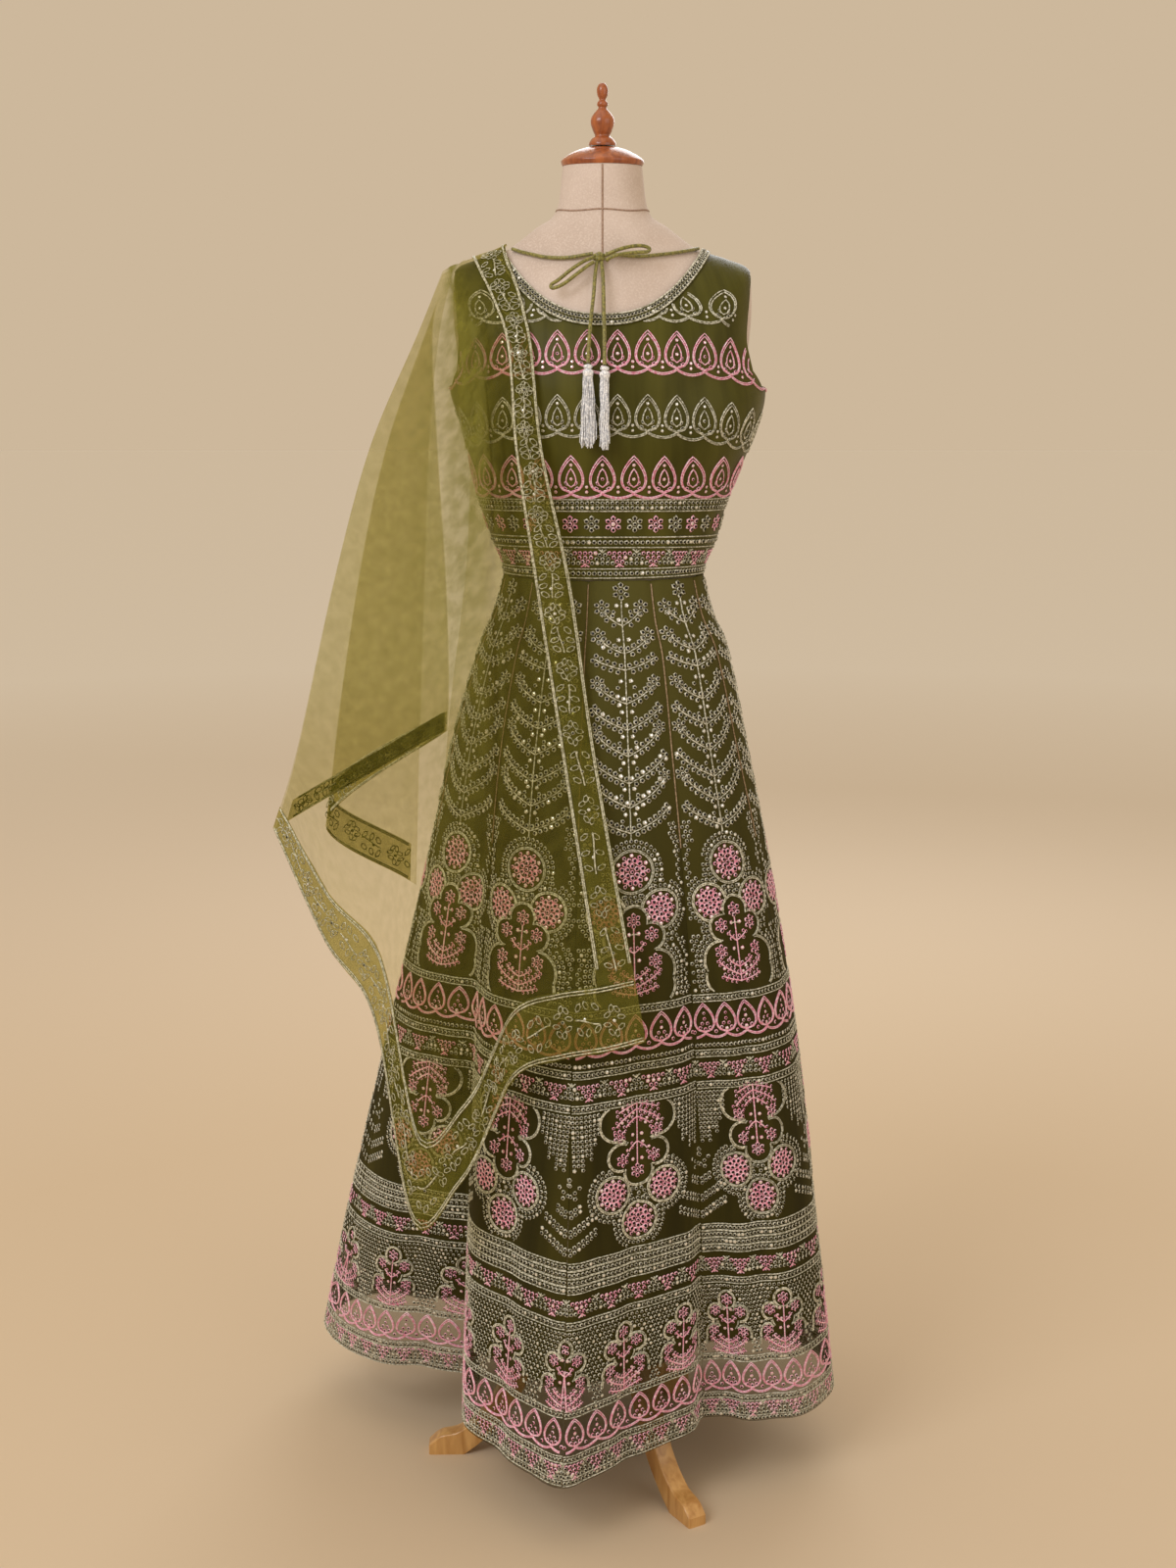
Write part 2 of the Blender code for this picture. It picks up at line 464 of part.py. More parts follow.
def make_bodice(satin, lace):
    columns = even(18)
    for name, first in (("bodice_front", 0.0), ("bodice_back", 180.0)):
        cloth(name, lambda across, row, first=first: bodice_point(row, bodice_angle(row, across, first)),
              columns, BODICE_ROWS, BODICE_WALL, satin)
    for name, first in (("waist_band_front", 0.0), ("waist_band_back", 180.0)):
        cloth(name, lambda across, row, first=first: bodice_point(row, bodice_angle(row, across, first)),
              even(16), BAND_ROWS, BODICE_WALL, satin)
    lift = BODICE_WALL / 2 + SEAM_GAP + TRIM_WALL / 2
    for name, first in (("neck_trim_front", 0.0), ("neck_trim_back", 180.0)):
        cloth(name, lambda across, row, first=first:
              bodice_point(row, bodice_angle(row, across, first), lift),
              columns, NECK_TRIM_ROWS, TRIM_WALL, lace)


def make_skirt(net):
    spread = [0.5 - 0.5 * math.cos(math.pi * step) for step in even(PANEL_COLUMNS)]
    columns = [0.55 * place + 0.45 * step for place, step in zip(even(PANEL_COLUMNS), spread)]
    for panel in range(PANELS):
        def point(across, down, panel=panel):
            width = (skirt_point(panel + 1, down) - skirt_point(panel, down)).length
            seam = SKIRT_SEAM_GAP / 2 / width
            return skirt_point(panel + seam + across * (1 - 2 * seam), down)
        cloth(f"skirt_panel_{panel + 1:02d}", point, columns, SKIRT_ROWS, SKIRT_WALL, net)


# The outside of the dress down to its waist, which pushes the stole's points clear of it
def make_guide():
    mesh = bpy.data.meshes.new("dress_outside")
    shape = bmesh.new()
    sides = 60
    rows = [2.0 + 0.25 * i for i in range(41)]
    loops = [[shape.verts.new(bodice_point(row, 360.0 * i / sides, BODICE_WALL / 2))
              for i in range(sides)] for row in rows]
    for upper, lower in zip(loops, loops[1:]):
        for i in range(sides):
            nxt = (i + 1) % sides
            shape.faces.new([upper[i], lower[i], lower[nxt], upper[nxt]])
    shape.faces.new(loops[0])
    shape.faces.new(loops[-1][::-1])
    shape.to_mesh(mesh)
    shape.free()
    guide = bpy.data.objects.new("dress_outside", mesh)
    guide.hide_render = True
    guide.display_type = "WIRE"
    guides.objects.link(guide)
    return guide


def keep_clear(piece, guide, offset):
    wrap = piece.modifiers.new("clear_of_dress", "SHRINKWRAP")
    wrap.target = guide
    wrap.wrap_method = "NEAREST_SURFACEPOINT"
    wrap.wrap_mode = "OUTSIDE"
    wrap.offset = offset
    piece.modifiers.move(1, 0)


def make_stole(net, border):
    guide = make_guide()
    stretches = (("stole_back", STOLE_BACK, BACK_COLUMNS, False),
                 ("stole_side", STOLE_SIDE, SIDE_COLUMNS, False),
                 ("stole_front", STOLE_FRONT, FRONT_COLUMNS, True))
    on_net = STOLE_WALL / 2 + SEAM_GAP + TRIM_WALL / 2
    for name, lines, columns, turned_over in stretches:
        side = 1.0 if turned_over else -1.0
        lengths = fold_lengths(lines)

        def surface(across, row, lift=0.0, lines=lines, side=side, lengths=lengths):
            length = float(np.interp(across, range(len(lengths)), lengths))
            border_start = 1.0 - STOLE_BORDER / length
            down = row * border_start if row <= 1.0 else border_start + (row - 1.0) * (1 - border_start)
            place = stole_point(lines, across, down)
            if row == 0.0:
                place.y = side * BENT_SEAM_GAP / 2
            return place + stole_normal(lines, across, down) * lift * -side

        def raised(across, row, surface=surface):
            return surface(across, row, on_net)

        rows = SIDE_ROWS if name == "stole_side" else STOLE_ROWS
        piece = cloth(name, surface, columns, rows + (2.0,), STOLE_WALL, net, turned_over)
        keep_clear(piece, guide, STOLE_OFF_DRESS)
        # the side stretch is folded back on itself, so its border has a piece for each layer
        if name == "stole_side":
            for layer in range(len(lines) - 1):
                across = [layer + part for part in LAYER_COLUMNS]
                cloth(f"{name}_end_border_{layer + 1}", raised, across, (1.0, 2.0), TRIM_WALL, border,
                      turned_over)
        else:
            cloth(f"{name}_end_border", raised, columns, (1.0, 2.0), TRIM_WALL, border, turned_over)
            rows = STOLE_ROWS[:-1] + (1.0 - SEAM_GAP,)
            piece = cloth(f"{name}_side_border", raised, (0.0, 0.5, 1.0), rows, TRIM_WALL, border,
                          turned_over)
            keep_clear(piece, guide, STOLE_OFF_DRESS + on_net)


# A cord is a round tube along a smooth curve through its route's points
def cord(name, route, finish, stretches):
    places = [read_rows(route, step * (len(route) - 1)) for step in even(stretches)]
    curve = bpy.data.curves.new(name, "CURVE")
    curve.dimensions = "3D"
    curve.bevel_depth = CORD_RADIUS
    curve.bevel_resolution = CORD_SIDES
    curve.use_fill_caps = True
    spline = curve.splines.new("POLY")
    spline.points.add(len(places) - 1)
    for knot, place in zip(spline.points, places):
        knot.co = (*place, 1.0)
    add_part(name, curve, finish)


# The strands are drawn out of the head's under side, face by face
def tassel(name, top, spread, lean, finish):
    x, y, z = top
    mesh = bpy.data.meshes.new(name)
    shape = bmesh.new()
    bmesh.ops.create_grid(shape, x_segments=STRAND_COLUMNS, y_segments=STRAND_ROWS, size=1.0)
    for vert in shape.verts:
        flat = Vector((vert.co.x, vert.co.y))
        square = max(abs(flat.x), abs(flat.y))
        if flat.length > 0:
            flat *= square / flat.length * TASSEL_HEAD_RADIUS
        vert.co = (flat.x, flat.y, -TASSEL_HEAD_HEIGHT)
    roots = list(shape.faces)
    bmesh.ops.reverse_faces(shape, faces=roots)
    rim = [edge for edge in shape.edges if edge.is_boundary]
    for scale, height in ((1.06, -0.0100), (1.00, -0.0070), (0.62, -0.0055), (0.86, -0.0040),
                          (0.80, -0.0015), (0.40, 0.0)):
        grown = bmesh.ops.extrude_edge_only(shape, edges=rim)["geom"]
        rim = [item for item in grown if isinstance(item, bmesh.types.BMEdge)]
        for vert in {vert for edge in rim for vert in edge.verts}:
            flat = Vector((vert.co.x, vert.co.y)).normalized() * TASSEL_HEAD_RADIUS * scale
            vert.co = (flat.x, flat.y, height)
    bmesh.ops.edgeloop_fill(shape, edges=rim)
    bmesh.ops.inset_individual(shape, faces=roots, thickness=0.00018)
    ends = bmesh.ops.extrude_discrete_faces(shape, faces=roots)["faces"]
    for number, face in enumerate(ends):
        centre = face.calc_center_median()
        length = TASSEL_LENGTH - 0.0035 * (number % 3)
        for vert in face.verts:
            offset = vert.co - centre
            end = Vector((centre.x * spread, centre.y * 1.1 - lean, centre.z - length))
            vert.co = end + offset * 0.85
    bmesh.ops.recalc_face_normals(shape, faces=shape.faces)
    bmesh.ops.translate(shape, verts=shape.verts, vec=(x, y, z))
    shape.to_mesh(mesh)
    shape.free()
    add_part(name, mesh, finish)


def make_ties(cord_cloth, silver):
    for name, rows in (("tie_span_left", TIE_LEFT), ("tie_span_right", TIE_RIGHT)):
        route = [torso_point(row, angle) + torso_normal(row, angle) * lift for row, angle, lift in rows]
        cord(name, route, cord_cloth, 12)
    mesh = bpy.data.meshes.new("tie_knot")
    shape = bmesh.new()
    bmesh.ops.create_uvsphere(shape, u_segments=12, v_segments=8, radius=0.5)
    bmesh.ops.transform(shape, verts=shape.verts, matrix=Matrix.Diagonal((*KNOT_SIZE, 1.0)))
    bmesh.ops.translate(shape, verts=shape.verts, vec=KNOT_CENTRE)
    shape.to_mesh(mesh)
    shape.free()
    mesh.shade_smooth()
    add_part("tie_knot", mesh, cord_cloth)
    cord("bow_loop_left", BOW_LEFT, cord_cloth, 15)
    cord("bow_loop_right", BOW_RIGHT, cord_cloth, 15)
    cord("tie_tail_left", TAIL_LEFT, cord_cloth, 10)
    cord("tie_tail_right", TAIL_RIGHT, cord_cloth, 10)
    tassels = zip(("left", "right"), (TAIL_LEFT, TAIL_RIGHT), TASSEL_SPREADS, TASSEL_LEANS)
    for side, route, spread, lean in tassels:
        x, y, z = route[-1]
        tassel(f"tassel_{side}", (x, y, z - SEAM_GAP - 0.0008), spread, lean, silver)


# Centres the whole part's box on the origin, the feet on z = 0
def centre_part():
    bpy.context.view_layer.update()
    depsgraph = bpy.context.evaluated_depsgraph_get()
    low, high = Vector((9.0, 9.0, 9.0)), Vector((-9.0, -9.0, -9.0))
    for part in parts.objects:
        if part.name.startswith(("tie_", "bow_", "tassel_")):
            continue
        shown = part.evaluated_get(depsgraph)
        mesh = shown.to_mesh()
        for vert in mesh.vertices:
            place = shown.matrix_world @ vert.co
            low = Vector(map(min, low, place))
            high = Vector(map(max, high, place))
        shown.to_mesh_clear()
    shift = Vector((-(low.x + high.x) / 2, -(low.y + high.y) / 2, -low.z))
    for part in [*parts.objects, *guides.objects]:
        part.location += shift


def main():
    clear_scene()
    linen = material("linen_cover", (0.63, 0.50, 0.43), 0.85)
    turned_wood = material("varnished_wood", (0.42, 0.17, 0.05), 0.35)
    wood = material("honey_wood", (0.55, 0.32, 0.12), 0.45)
    satin = material("olive_satin", (0.075, 0.080, 0.012), 0.45)
    net = material("olive_net_over_lining", (0.060, 0.062, 0.010), 0.60)
    lace = material("neck_lace", (0.20, 0.21, 0.11), 0.60)
    sheer = material("sheer_olive_net", (0.22, 0.20, 0.03), 0.60)
    border = material("stole_border", (0.16, 0.15, 0.04), 0.60)
    cord_cloth = material("olive_cord", (0.10, 0.10, 0.02), 0.60)
    silver = material("silver_thread", (0.62, 0.64, 0.68), 0.40, 0.2)
    make_form(linen, turned_wood)
    make_stand(wood)
    make_bodice(satin, lace)
    make_skirt(net)
    make_stole(sheer, border)
    make_ties(cord_cloth, silver)
    centre_part()


main()
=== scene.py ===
import math

import bmesh
import bpy
import numpy as np
from mathutils import Matrix, Vector
from mathutils.bvhtree import BVHTree


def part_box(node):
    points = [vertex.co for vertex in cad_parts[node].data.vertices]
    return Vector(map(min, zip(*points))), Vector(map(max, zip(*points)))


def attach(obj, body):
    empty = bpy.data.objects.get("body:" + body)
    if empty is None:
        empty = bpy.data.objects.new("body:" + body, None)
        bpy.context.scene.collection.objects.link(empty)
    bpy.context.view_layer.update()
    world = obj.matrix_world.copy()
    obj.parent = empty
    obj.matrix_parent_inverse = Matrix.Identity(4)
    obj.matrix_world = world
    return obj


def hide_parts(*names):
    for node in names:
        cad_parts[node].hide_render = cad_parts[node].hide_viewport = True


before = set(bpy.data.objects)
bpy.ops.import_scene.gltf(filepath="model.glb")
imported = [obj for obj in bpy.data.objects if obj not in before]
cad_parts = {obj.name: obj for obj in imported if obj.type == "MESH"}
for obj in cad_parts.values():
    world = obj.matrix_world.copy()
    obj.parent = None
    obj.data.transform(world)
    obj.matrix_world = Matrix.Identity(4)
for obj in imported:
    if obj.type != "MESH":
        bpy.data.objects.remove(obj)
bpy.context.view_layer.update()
poleLow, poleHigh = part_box("pole")
stand = np.array([(poleLow.x + poleHigh.x) / 2, (poleLow.y + poleHigh.y) / 2, 0.0])
print("frame loaded")

# The photograph's view: eye height, distance from the stand, looking slightly down
viewFrom = {"height": 1.35, "distance": 2.53, "pitch": 11.1, "lens": 49.95, "shift": -0.0092}


def makeCamera():
    data = bpy.data.cameras.new("camera")
    data.lens = viewFrom["lens"]
    data.shift_x = viewFrom["shift"]
    camera = bpy.data.objects.new("camera", data)
    camera.location = stand + (0.0, -viewFrom["distance"], viewFrom["height"])
    camera.rotation_euler = (math.radians(90 - viewFrom["pitch"]), 0.0, 0.0)
    bpy.context.scene.collection.objects.link(camera)
    bpy.context.scene.camera = camera


makeCamera()
bpy.context.scene.view_settings.view_transform = "Standard"


# Materials
def colour(value):
    parts = [int(value[i:i + 2], 16) / 255 for i in (1, 3, 5)]
    return (*[p / 12.92 if p <= 0.04045 else ((p + 0.055) / 1.055) ** 2.4 for p in parts], 1.0)


def addNode(tree, kind, inputs=None, **settings):
    node = tree.nodes.new(kind)
    for name, value in settings.items():
        setattr(node, name, value)
    for name, value in (inputs or {}).items():
        if isinstance(value, bpy.types.NodeSocket):
            tree.links.new(value, node.inputs[name])
        else:
            node.inputs[name].default_value = value
    return node


def newMaterial(name, roughness, **sockets):
    made = bpy.data.materials.new(name)
    made.use_nodes = True
    shader = made.node_tree.nodes["Principled BSDF"]
    shader.inputs["Roughness"].default_value = roughness
    for socket, value in sockets.items():
        shader.inputs[socket.replace("_", " ")].default_value = value
    return made, made.node_tree, shader


# Two tones that follow a pattern as it rises from low to high
def twoTones(tree, pattern, low, high, dark, light, most=1.0):
    share = addNode(tree, "ShaderNodeMapRange", {"Value": pattern, "From Min": low, "From Max": high,
                                                 "To Max": most})
    mixed = addNode(tree, "ShaderNodeMix", {0: share.outputs[0], 6: dark, 7: light}, data_type="RGBA")
    return mixed.outputs[2]


# Gives a finish its colour, and the fine relief that catches the light
def finishSurface(tree, shader, paint, height, strength, depth):
    relief = addNode(tree, "ShaderNodeBump", {"Height": height, "Strength": strength, "Distance": depth})
    tree.links.new(paint, shader.inputs["Base Color"])
    tree.links.new(relief.outputs[0], shader.inputs["Normal"])


waveScale = 0.314  # a wave texture of this scale repeats once in each metre


# Woven cloth read on its own cut: u across and v down, in metres. The threads are drawn
# several times as coarse as real ones, so that they show. Its colour is painted lighter and darker in
# soft long streaks: painted shine and painted shade of folds
def wovenCloth(name, dark, light, roughness, threadPitch, weaveDepth, streak, **sockets):
    made, tree, shader = newMaterial(name, roughness, **sockets)
    cut = addNode(tree, "ShaderNodeUVMap", uv_map="cut")
    long = addNode(tree, "ShaderNodeMapping", {"Vector": cut.outputs[0], "Scale": streak})
    paintedShineAndShade = addNode(tree, "ShaderNodeTexNoise", {"Vector": long.outputs[0], "Scale": 1.0, "Detail": 4.0})
    waves = [addNode(tree, "ShaderNodeTexWave", {"Vector": cut.outputs[0],
                     "Scale": waveScale / threadPitch}, bands_direction=way) for way in "XY"]
    weave = addNode(tree, "ShaderNodeMath", {0: waves[0].outputs["Fac"], 1: waves[1].outputs["Fac"]},
                    operation="ADD")
    # painted shine and painted shade of folds, in long soft streaks
    paint = twoTones(tree, paintedShineAndShade.outputs["Fac"], 0.3, 0.7, colour(dark), colour(light))
    finishSurface(tree, shader, paint, weave.outputs[0], 0.35, weaveDepth)
    return made, tree, shader, cut


# Polyester satin, woven: its soft vertical streaks of shine are painted into its colour, lighter and darker
satin = wovenCloth("wovenPolyesterSatin", "#353309", "#57541d", 0.36, 0.0011, 0.00012, (26, 3.0, 1),
                   Specular_IOR_Level=0.14)[0]

# Metres down the panel to where the painted light at the waist has faded into the painted shade below, and to
# the lining's end
skirtNet = {"paintedLightDownTo": 0.42, "liningEnds": 0.912, "netAlpha": 0.34}


# Soft nylon net over a crepe lining: dull and dark, painted lighter at the waist for the light falling there
# and darker below as painted shade, and see-through below the lining's end
def makeSkirtCloth():
    made, tree, shader, cut = wovenCloth("softNetOverCrepeLining", "#2a260b", "#403b13", 0.75, 0.0016,
                                         0.00015, (22, 2.2, 1), Specular_IOR_Level=0.1)
    place = addNode(tree, "ShaderNodeSeparateXYZ", {"Vector": cut.outputs[0]})
    plain = shader.inputs["Base Color"].links[0].from_socket
    # painted light at the waist, fading to the painted shade lower down
    paint = twoTones(tree, place.outputs["Y"], 0.0, skirtNet["paintedLightDownTo"], colour("#514d22"), plain)
    tree.links.new(paint, shader.inputs["Base Color"])
    ends = skirtNet["liningEnds"]
    alpha = addNode(tree, "ShaderNodeMapRange", {"Value": place.outputs["Y"], "From Min": ends, "From Max":
                                                 ends + 0.006, "To Min": 1.0, "To Max": skirtNet["netAlpha"]})
    tree.links.new(alpha.outputs[0], shader.inputs["Alpha"])
    return made


skirtCloth = makeSkirtCloth()


# Sheer nylon net, knitted in a fine mesh. Light passing it takes its olive tint, and its yarns
# catch a little light of their own, so it deepens where it lies double
def makeSheerNet(name, dark, light, tint, low, high):
    made, tree, shader, cut = wovenCloth(name, dark, light, 0.6, 0.0018, 0.0001, (9, 2.0, 1),
                                         Specular_IOR_Level=0.2)
    mesh = addNode(tree, "ShaderNodeTexNoise", {"Vector": cut.outputs[0], "Scale": 60.0})
    through = addNode(tree, "ShaderNodeBsdfTransparent", {"Color": colour(tint)})
    cover = addNode(tree, "ShaderNodeMapRange", {"Value": mesh.outputs["Fac"], "From Min": 0.35,
                                                 "From Max": 0.65, "To Min": low, "To Max": high})
    layers = addNode(tree, "ShaderNodeAttribute", attribute_name="layers")
    pleated = addNode(tree, "ShaderNodeMath", {0: cover.outputs[0], 1: layers.outputs["Fac"]},
                      operation="MULTIPLY", use_clamp=True)
    mixed = addNode(tree, "ShaderNodeMixShader", {0: pleated.outputs[0], 1: through.outputs[0],
                                                  2: shader.outputs[0]})
    tree.links.new(mixed.outputs[0], tree.nodes["Material Output"].inputs["Surface"])
    return made


sheerNet = makeSheerNet("knittedSheerNet", "#757022", "#8b8634", "#fbfaf0", 0.05, 0.10)
borderNet = makeSheerNet("knittedBorderNet", "#6f6d24", "#868338", "#f3f0d6", 0.17, 0.25)


# Viscose embroidery thread, laid in twisted loops: its colour is painted in patches about a stitch wide
# between a shaded tone and a highlighted one, painted shade and painted glints, and the same noise gives its
# fine relief
def threadMaterial(name, dark, light, roughness, **sockets):
    made, tree, shader = newMaterial(name, roughness, **sockets)
    place = addNode(tree, "ShaderNodeTexCoord")
    glintAndRelief = addNode(tree, "ShaderNodeTexNoise", {"Vector": place.outputs["Object"], "Scale": 420.0,
                                                   "Detail": 2.0})
    # painted shade and painted glints, patch by patch
    paint = twoTones(tree, glintAndRelief.outputs["Fac"], 0.38, 0.62, colour(dark), colour(light))
    finishSurface(tree, shader, paint, glintAndRelief.outputs["Fac"], 0.6, 0.0004)
    return made


sageThread = threadMaterial("twistedSageThread", "#86836a", "#e8e6d4", 0.6, Specular_IOR_Level=0.25)
pinkThread = threadMaterial("twistedPinkThread", "#e892ad", "#ffdde9", 0.6, Specular_IOR_Level=0.25)
seamThread = threadMaterial("seamThread", "#7d6748", "#ad9474", 0.6)
paleThread = threadMaterial("metallicPaleThread", "#8d8a68", "#dcd9bf", 0.4, Metallic=0.2)
silverYarn = threadMaterial("silverViscoseYarn", "#c3c7ce", "#ffffff", 0.45, Metallic=0.1)
# Film sequins, punched and vacuum coated: the silver ones flash. The near-black disc in the other loops'
# centres is painted shade of the hole and painted dark reflection of mirror dots
paintedDarkCentre = newMaterial("smokedSequin", 0.3, Base_Color=colour("#0c0b08"), Specular_IOR_Level=0.2)[0]
mirrorDisc = newMaterial("silverMirrorSequin", 0.12, Base_Color=colour("#f2f4f5"), Metallic=0.85)[0]
# Satin cut on the bias and sewn to a round cord, with a soft sheen along it
cordCloth = threadMaterial("biasSatinRouleau", "#5f5a1f", "#8f883c", 0.42, Sheen_Weight=0.3)


# Linen canvas, plain woven, stretched over the form: slubby and matt
def makeLinen():
    made, tree, shader = newMaterial("plainWovenLinen", 0.9, Sheen_Weight=0.2)
    place = addNode(tree, "ShaderNodeTexCoord").outputs["Object"]
    cloud = addNode(tree, "ShaderNodeTexNoise", {"Vector": place, "Scale": 9.0, "Detail": 5.0})
    slub = addNode(tree, "ShaderNodeTexNoise", {"Vector": place, "Scale": 520.0, "Detail": 3.0})
    plain = twoTones(tree, cloud.outputs["Fac"], 0.35, 0.65, colour("#bfad9f"), colour("#d3c2b5"))
    paint = twoTones(tree, slub.outputs["Fac"], 0.45, 0.7, plain, colour("#e2d5ca"), 0.45)
    finishSurface(tree, shader, paint, slub.outputs["Fac"], 0.5, 0.0004)
    return made


linen = makeLinen()
linenSeam = threadMaterial("linenSeamFold", "#8e7462", "#a88d79", 0.9)


# Beech, turned or sawn, then varnished: long streaks of grain under a clear coat
def makeWood(name, dark, light, coat, grain):
    made, tree, shader = newMaterial(name, 0.38, Coat_Weight=coat, Coat_Roughness=0.15)
    place = addNode(tree, "ShaderNodeTexCoord").outputs["Object"]
    long = addNode(tree, "ShaderNodeMapping", {"Vector": place, "Scale": grain})
    streak = addNode(tree, "ShaderNodeTexNoise", {"Vector": long.outputs[0], "Scale": 1.0,
                                                  "Detail": 6.0, "Distortion": 0.6})
    paint = twoTones(tree, streak.outputs["Fac"], 0.3, 0.7, colour(dark), colour(light))
    finishSurface(tree, shader, paint, streak.outputs["Fac"], 0.15, 0.0005)
    return made


redWood = makeWood("varnishedRedBeech", "#7a3511", "#b0602a", 0.6, (160, 160, 22))
honeyWood = makeWood("varnishedHoneyBeech", "#a8763a", "#d2a565", 0.35, (90, 90, 14))
print("materials made")

# The form and the dress are smooth tables, the same ones that the solids follow.
# Columns of the torso: half width, depth at the back and at the front, height at the middle and
# at the sides, ease all round, at the left and at the right
torso = np.array((
    (0.0445, 0.0445, 0.0445, 1.5600, 1.5600, 0.0000, 0.000, 0.000),
    (0.0520, 0.0510, 0.0500, 1.5100, 1.5110, 0.0000, 0.000, 0.000),
    (0.0740, 0.0690, 0.0620, 1.4720, 1.4930, 0.0000, 0.000, 0.000),
    (0.1105, 0.0950, 0.0850, 1.3965, 1.4670, 0.0000, 0.000, 0.000),
    (0.1400, 0.1090, 0.1010, 1.3640, 1.4565, 0.0000, 0.000, 0.000),
    (0.1640, 0.1165, 0.1120, 1.3380, 1.4450, 0.0003, 0.000, 0.000),
    (0.1690, 0.1195, 0.1200, 1.3150, 1.4180, 0.0010, 0.000, 0.000),
    (0.1680, 0.1190, 0.1260, 1.2950, 1.3800, 0.0015, 0.001, 0.002),
    (0.1600, 0.1160, 0.1320, 1.2700, 1.3180, 0.0025, 0.010, 0.022),
    (0.1500, 0.1120, 0.1340, 1.2450, 1.2700, 0.0030, 0.005, 0.020),
    (0.1310, 0.0980, 0.1150, 1.1960, 1.1960, 0.0030, 0.008, 0.010),
    (0.1180, 0.0890, 0.1010, 1.1500, 1.1500, 0.0030, 0.006, 0.010),
    (0.1080, 0.0830, 0.0890, 1.1040, 1.1040, 0.0030, 0.002, 0.005),
    (0.1290, 0.0990, 0.1010, 1.0200, 1.0200, 0.0030, 0.000, 0.000),
    (0.1500, 0.1160, 0.1120, 0.9200, 0.9200, 0.0030, 0.000, 0.000),
    (0.1460, 0.1120, 0.1060, 0.8400, 0.8400, 0.0030, 0.000, 0.000)))
armholeRows = (5.0, 5.15, 5.5, 6.2, 7.0, 7.55, 7.88, 8.0)
armholeAngles = (0.0, 8.0, 14.0, 19.0, 21.0, 20.0, 13.0, 0.0)
# Columns of the skirt's rings: height, reach to the right, left, back and front
skirtRings = np.array((
    (1.104, 0.1165, 0.1135, 0.0868, 0.0928), (1.060, 0.1275, 0.1255, 0.1050, 0.1080),
    (1.020, 0.1450, 0.1420, 0.1190, 0.1210), (0.908, 0.1690, 0.1720, 0.1430, 0.1400),
    (0.772, 0.1960, 0.1960, 0.1700, 0.1660), (0.610, 0.2210, 0.2240, 0.1960, 0.1920),
    (0.421, 0.2410, 0.2530, 0.2180, 0.2200), (0.258, 0.2520, 0.2760, 0.2320, 0.2420),
    (0.090, 0.2600, 0.2950, 0.2420, 0.2600)))
# Columns of the hem: seam number, x, y and z
hem = np.array((
    (0.00, -0.167, -0.035, 0.092), (0.25, -0.168, -0.105, 0.090), (0.45, -0.140, -0.150, 0.088),
    (0.75, -0.092, -0.212, 0.086), (1.00, -0.046, -0.252, 0.085), (1.30, 0.008, -0.212, 0.087),
    (1.60, 0.062, -0.168, 0.090), (1.85, 0.106, -0.134, 0.092), (2.00, 0.121, -0.100, 0.094),
    (2.35, 0.180, -0.104, 0.092), (2.70, 0.245, -0.084, 0.090), (3.00, 0.287, -0.012, 0.088),
    (3.50, 0.274, 0.085, 0.090), (4.00, 0.207, 0.135, 0.094), (4.50, 0.228, 0.215, 0.090),
    (5.00, 0.190, 0.300, 0.086), (5.50, 0.108, 0.258, 0.090), (6.00, 0.030, 0.215, 0.094),
    (6.50, -0.030, 0.275, 0.090), (7.00, -0.110, 0.330, 0.086), (7.50, -0.185, 0.275, 0.090),
    (8.00, -0.235, 0.240, 0.093), (8.50, -0.310, 0.265, 0.090), (8.80, -0.372, 0.205, 0.087),
    (9.00, -0.352, 0.130, 0.087), (9.35, -0.290, 0.060, 0.089), (9.70, -0.200, 0.030, 0.091),
    (9.85, -0.157, 0.008, 0.093)))
hemLoop = np.vstack([hem[-3:] - (10, 0, 0, 0), hem, hem[:3] + (10, 0, 0, 0)])
# Folds of the stole, each from the shoulder down through chest, ribs, waist and hip to its end
stoleBack = np.array((
    ((-.106, 0, 1.4708), (-.0785, -.104, 1.372), (-.065, -.122, 1.25), (-.034, -.122, 1.10),
     (-.005, -.152, .90), (.048, -.232, .609)),
    ((-.147, 0, 1.4588), (-.1055, -.101, 1.373), (-.0945, -.119, 1.25), (-.0735, -.121, 1.10),
     (-.0425, -.152, .90), (.006, -.234, .598)),
    ((-.152, 0, 1.4572), (-.116, -.092, 1.375), (-.104, -.110, 1.25), (-.087, -.113, 1.10),
     (-.068, -.146, .90), (-.045, -.222, .585)),
    ((-.157, 0, 1.4570), (-.124, -.090, 1.376), (-.113, -.112, 1.25), (-.101, -.124, 1.10),
     (-.093, -.160, .90), (-.092, -.236, .573)),
    ((-.162, 0, 1.4536), (-.132, -.080, 1.377), (-.120, -.098, 1.25), (-.115, -.107, 1.10),
     (-.113, -.140, .90), (-.125, -.205, .500)),
    ((-.167, 0, 1.4526), (-.142, -.078, 1.378), (-.127, -.100, 1.25), (-.132, -.118, 1.10),
     (-.133, -.152, .90), (-.162, -.216, .433)),
    ((-.172, 0, 1.4506), (-.156, -.068, 1.379), (-.143, -.095, 1.25), (-.154, -.112, 1.10),
     (-.174, -.146, .90), (-.2143, -.200, .386)),
    ((-.175, 0, 1.4486), (-.176, -.048, 1.380), (-.182, -.068, 1.25), (-.202, -.078, 1.10),
     (-.226, -.098, .90), (-.262, -.120, .600)),
    ((-.178, 0, 1.4470), (-.194, -.038, 1.380), (-.224, -.052, 1.25), (-.258, -.058, 1.10),
     (-.302, -.064, .90), (-.322, -.075, .680)),
    ((-.181, 0, 1.4450), (-.2085, -.026, 1.374), (-.264, -.030, 1.25), (-.308, -.030, 1.10),
     (-.356, -.030, .90), (-.386, -.030, .807))))
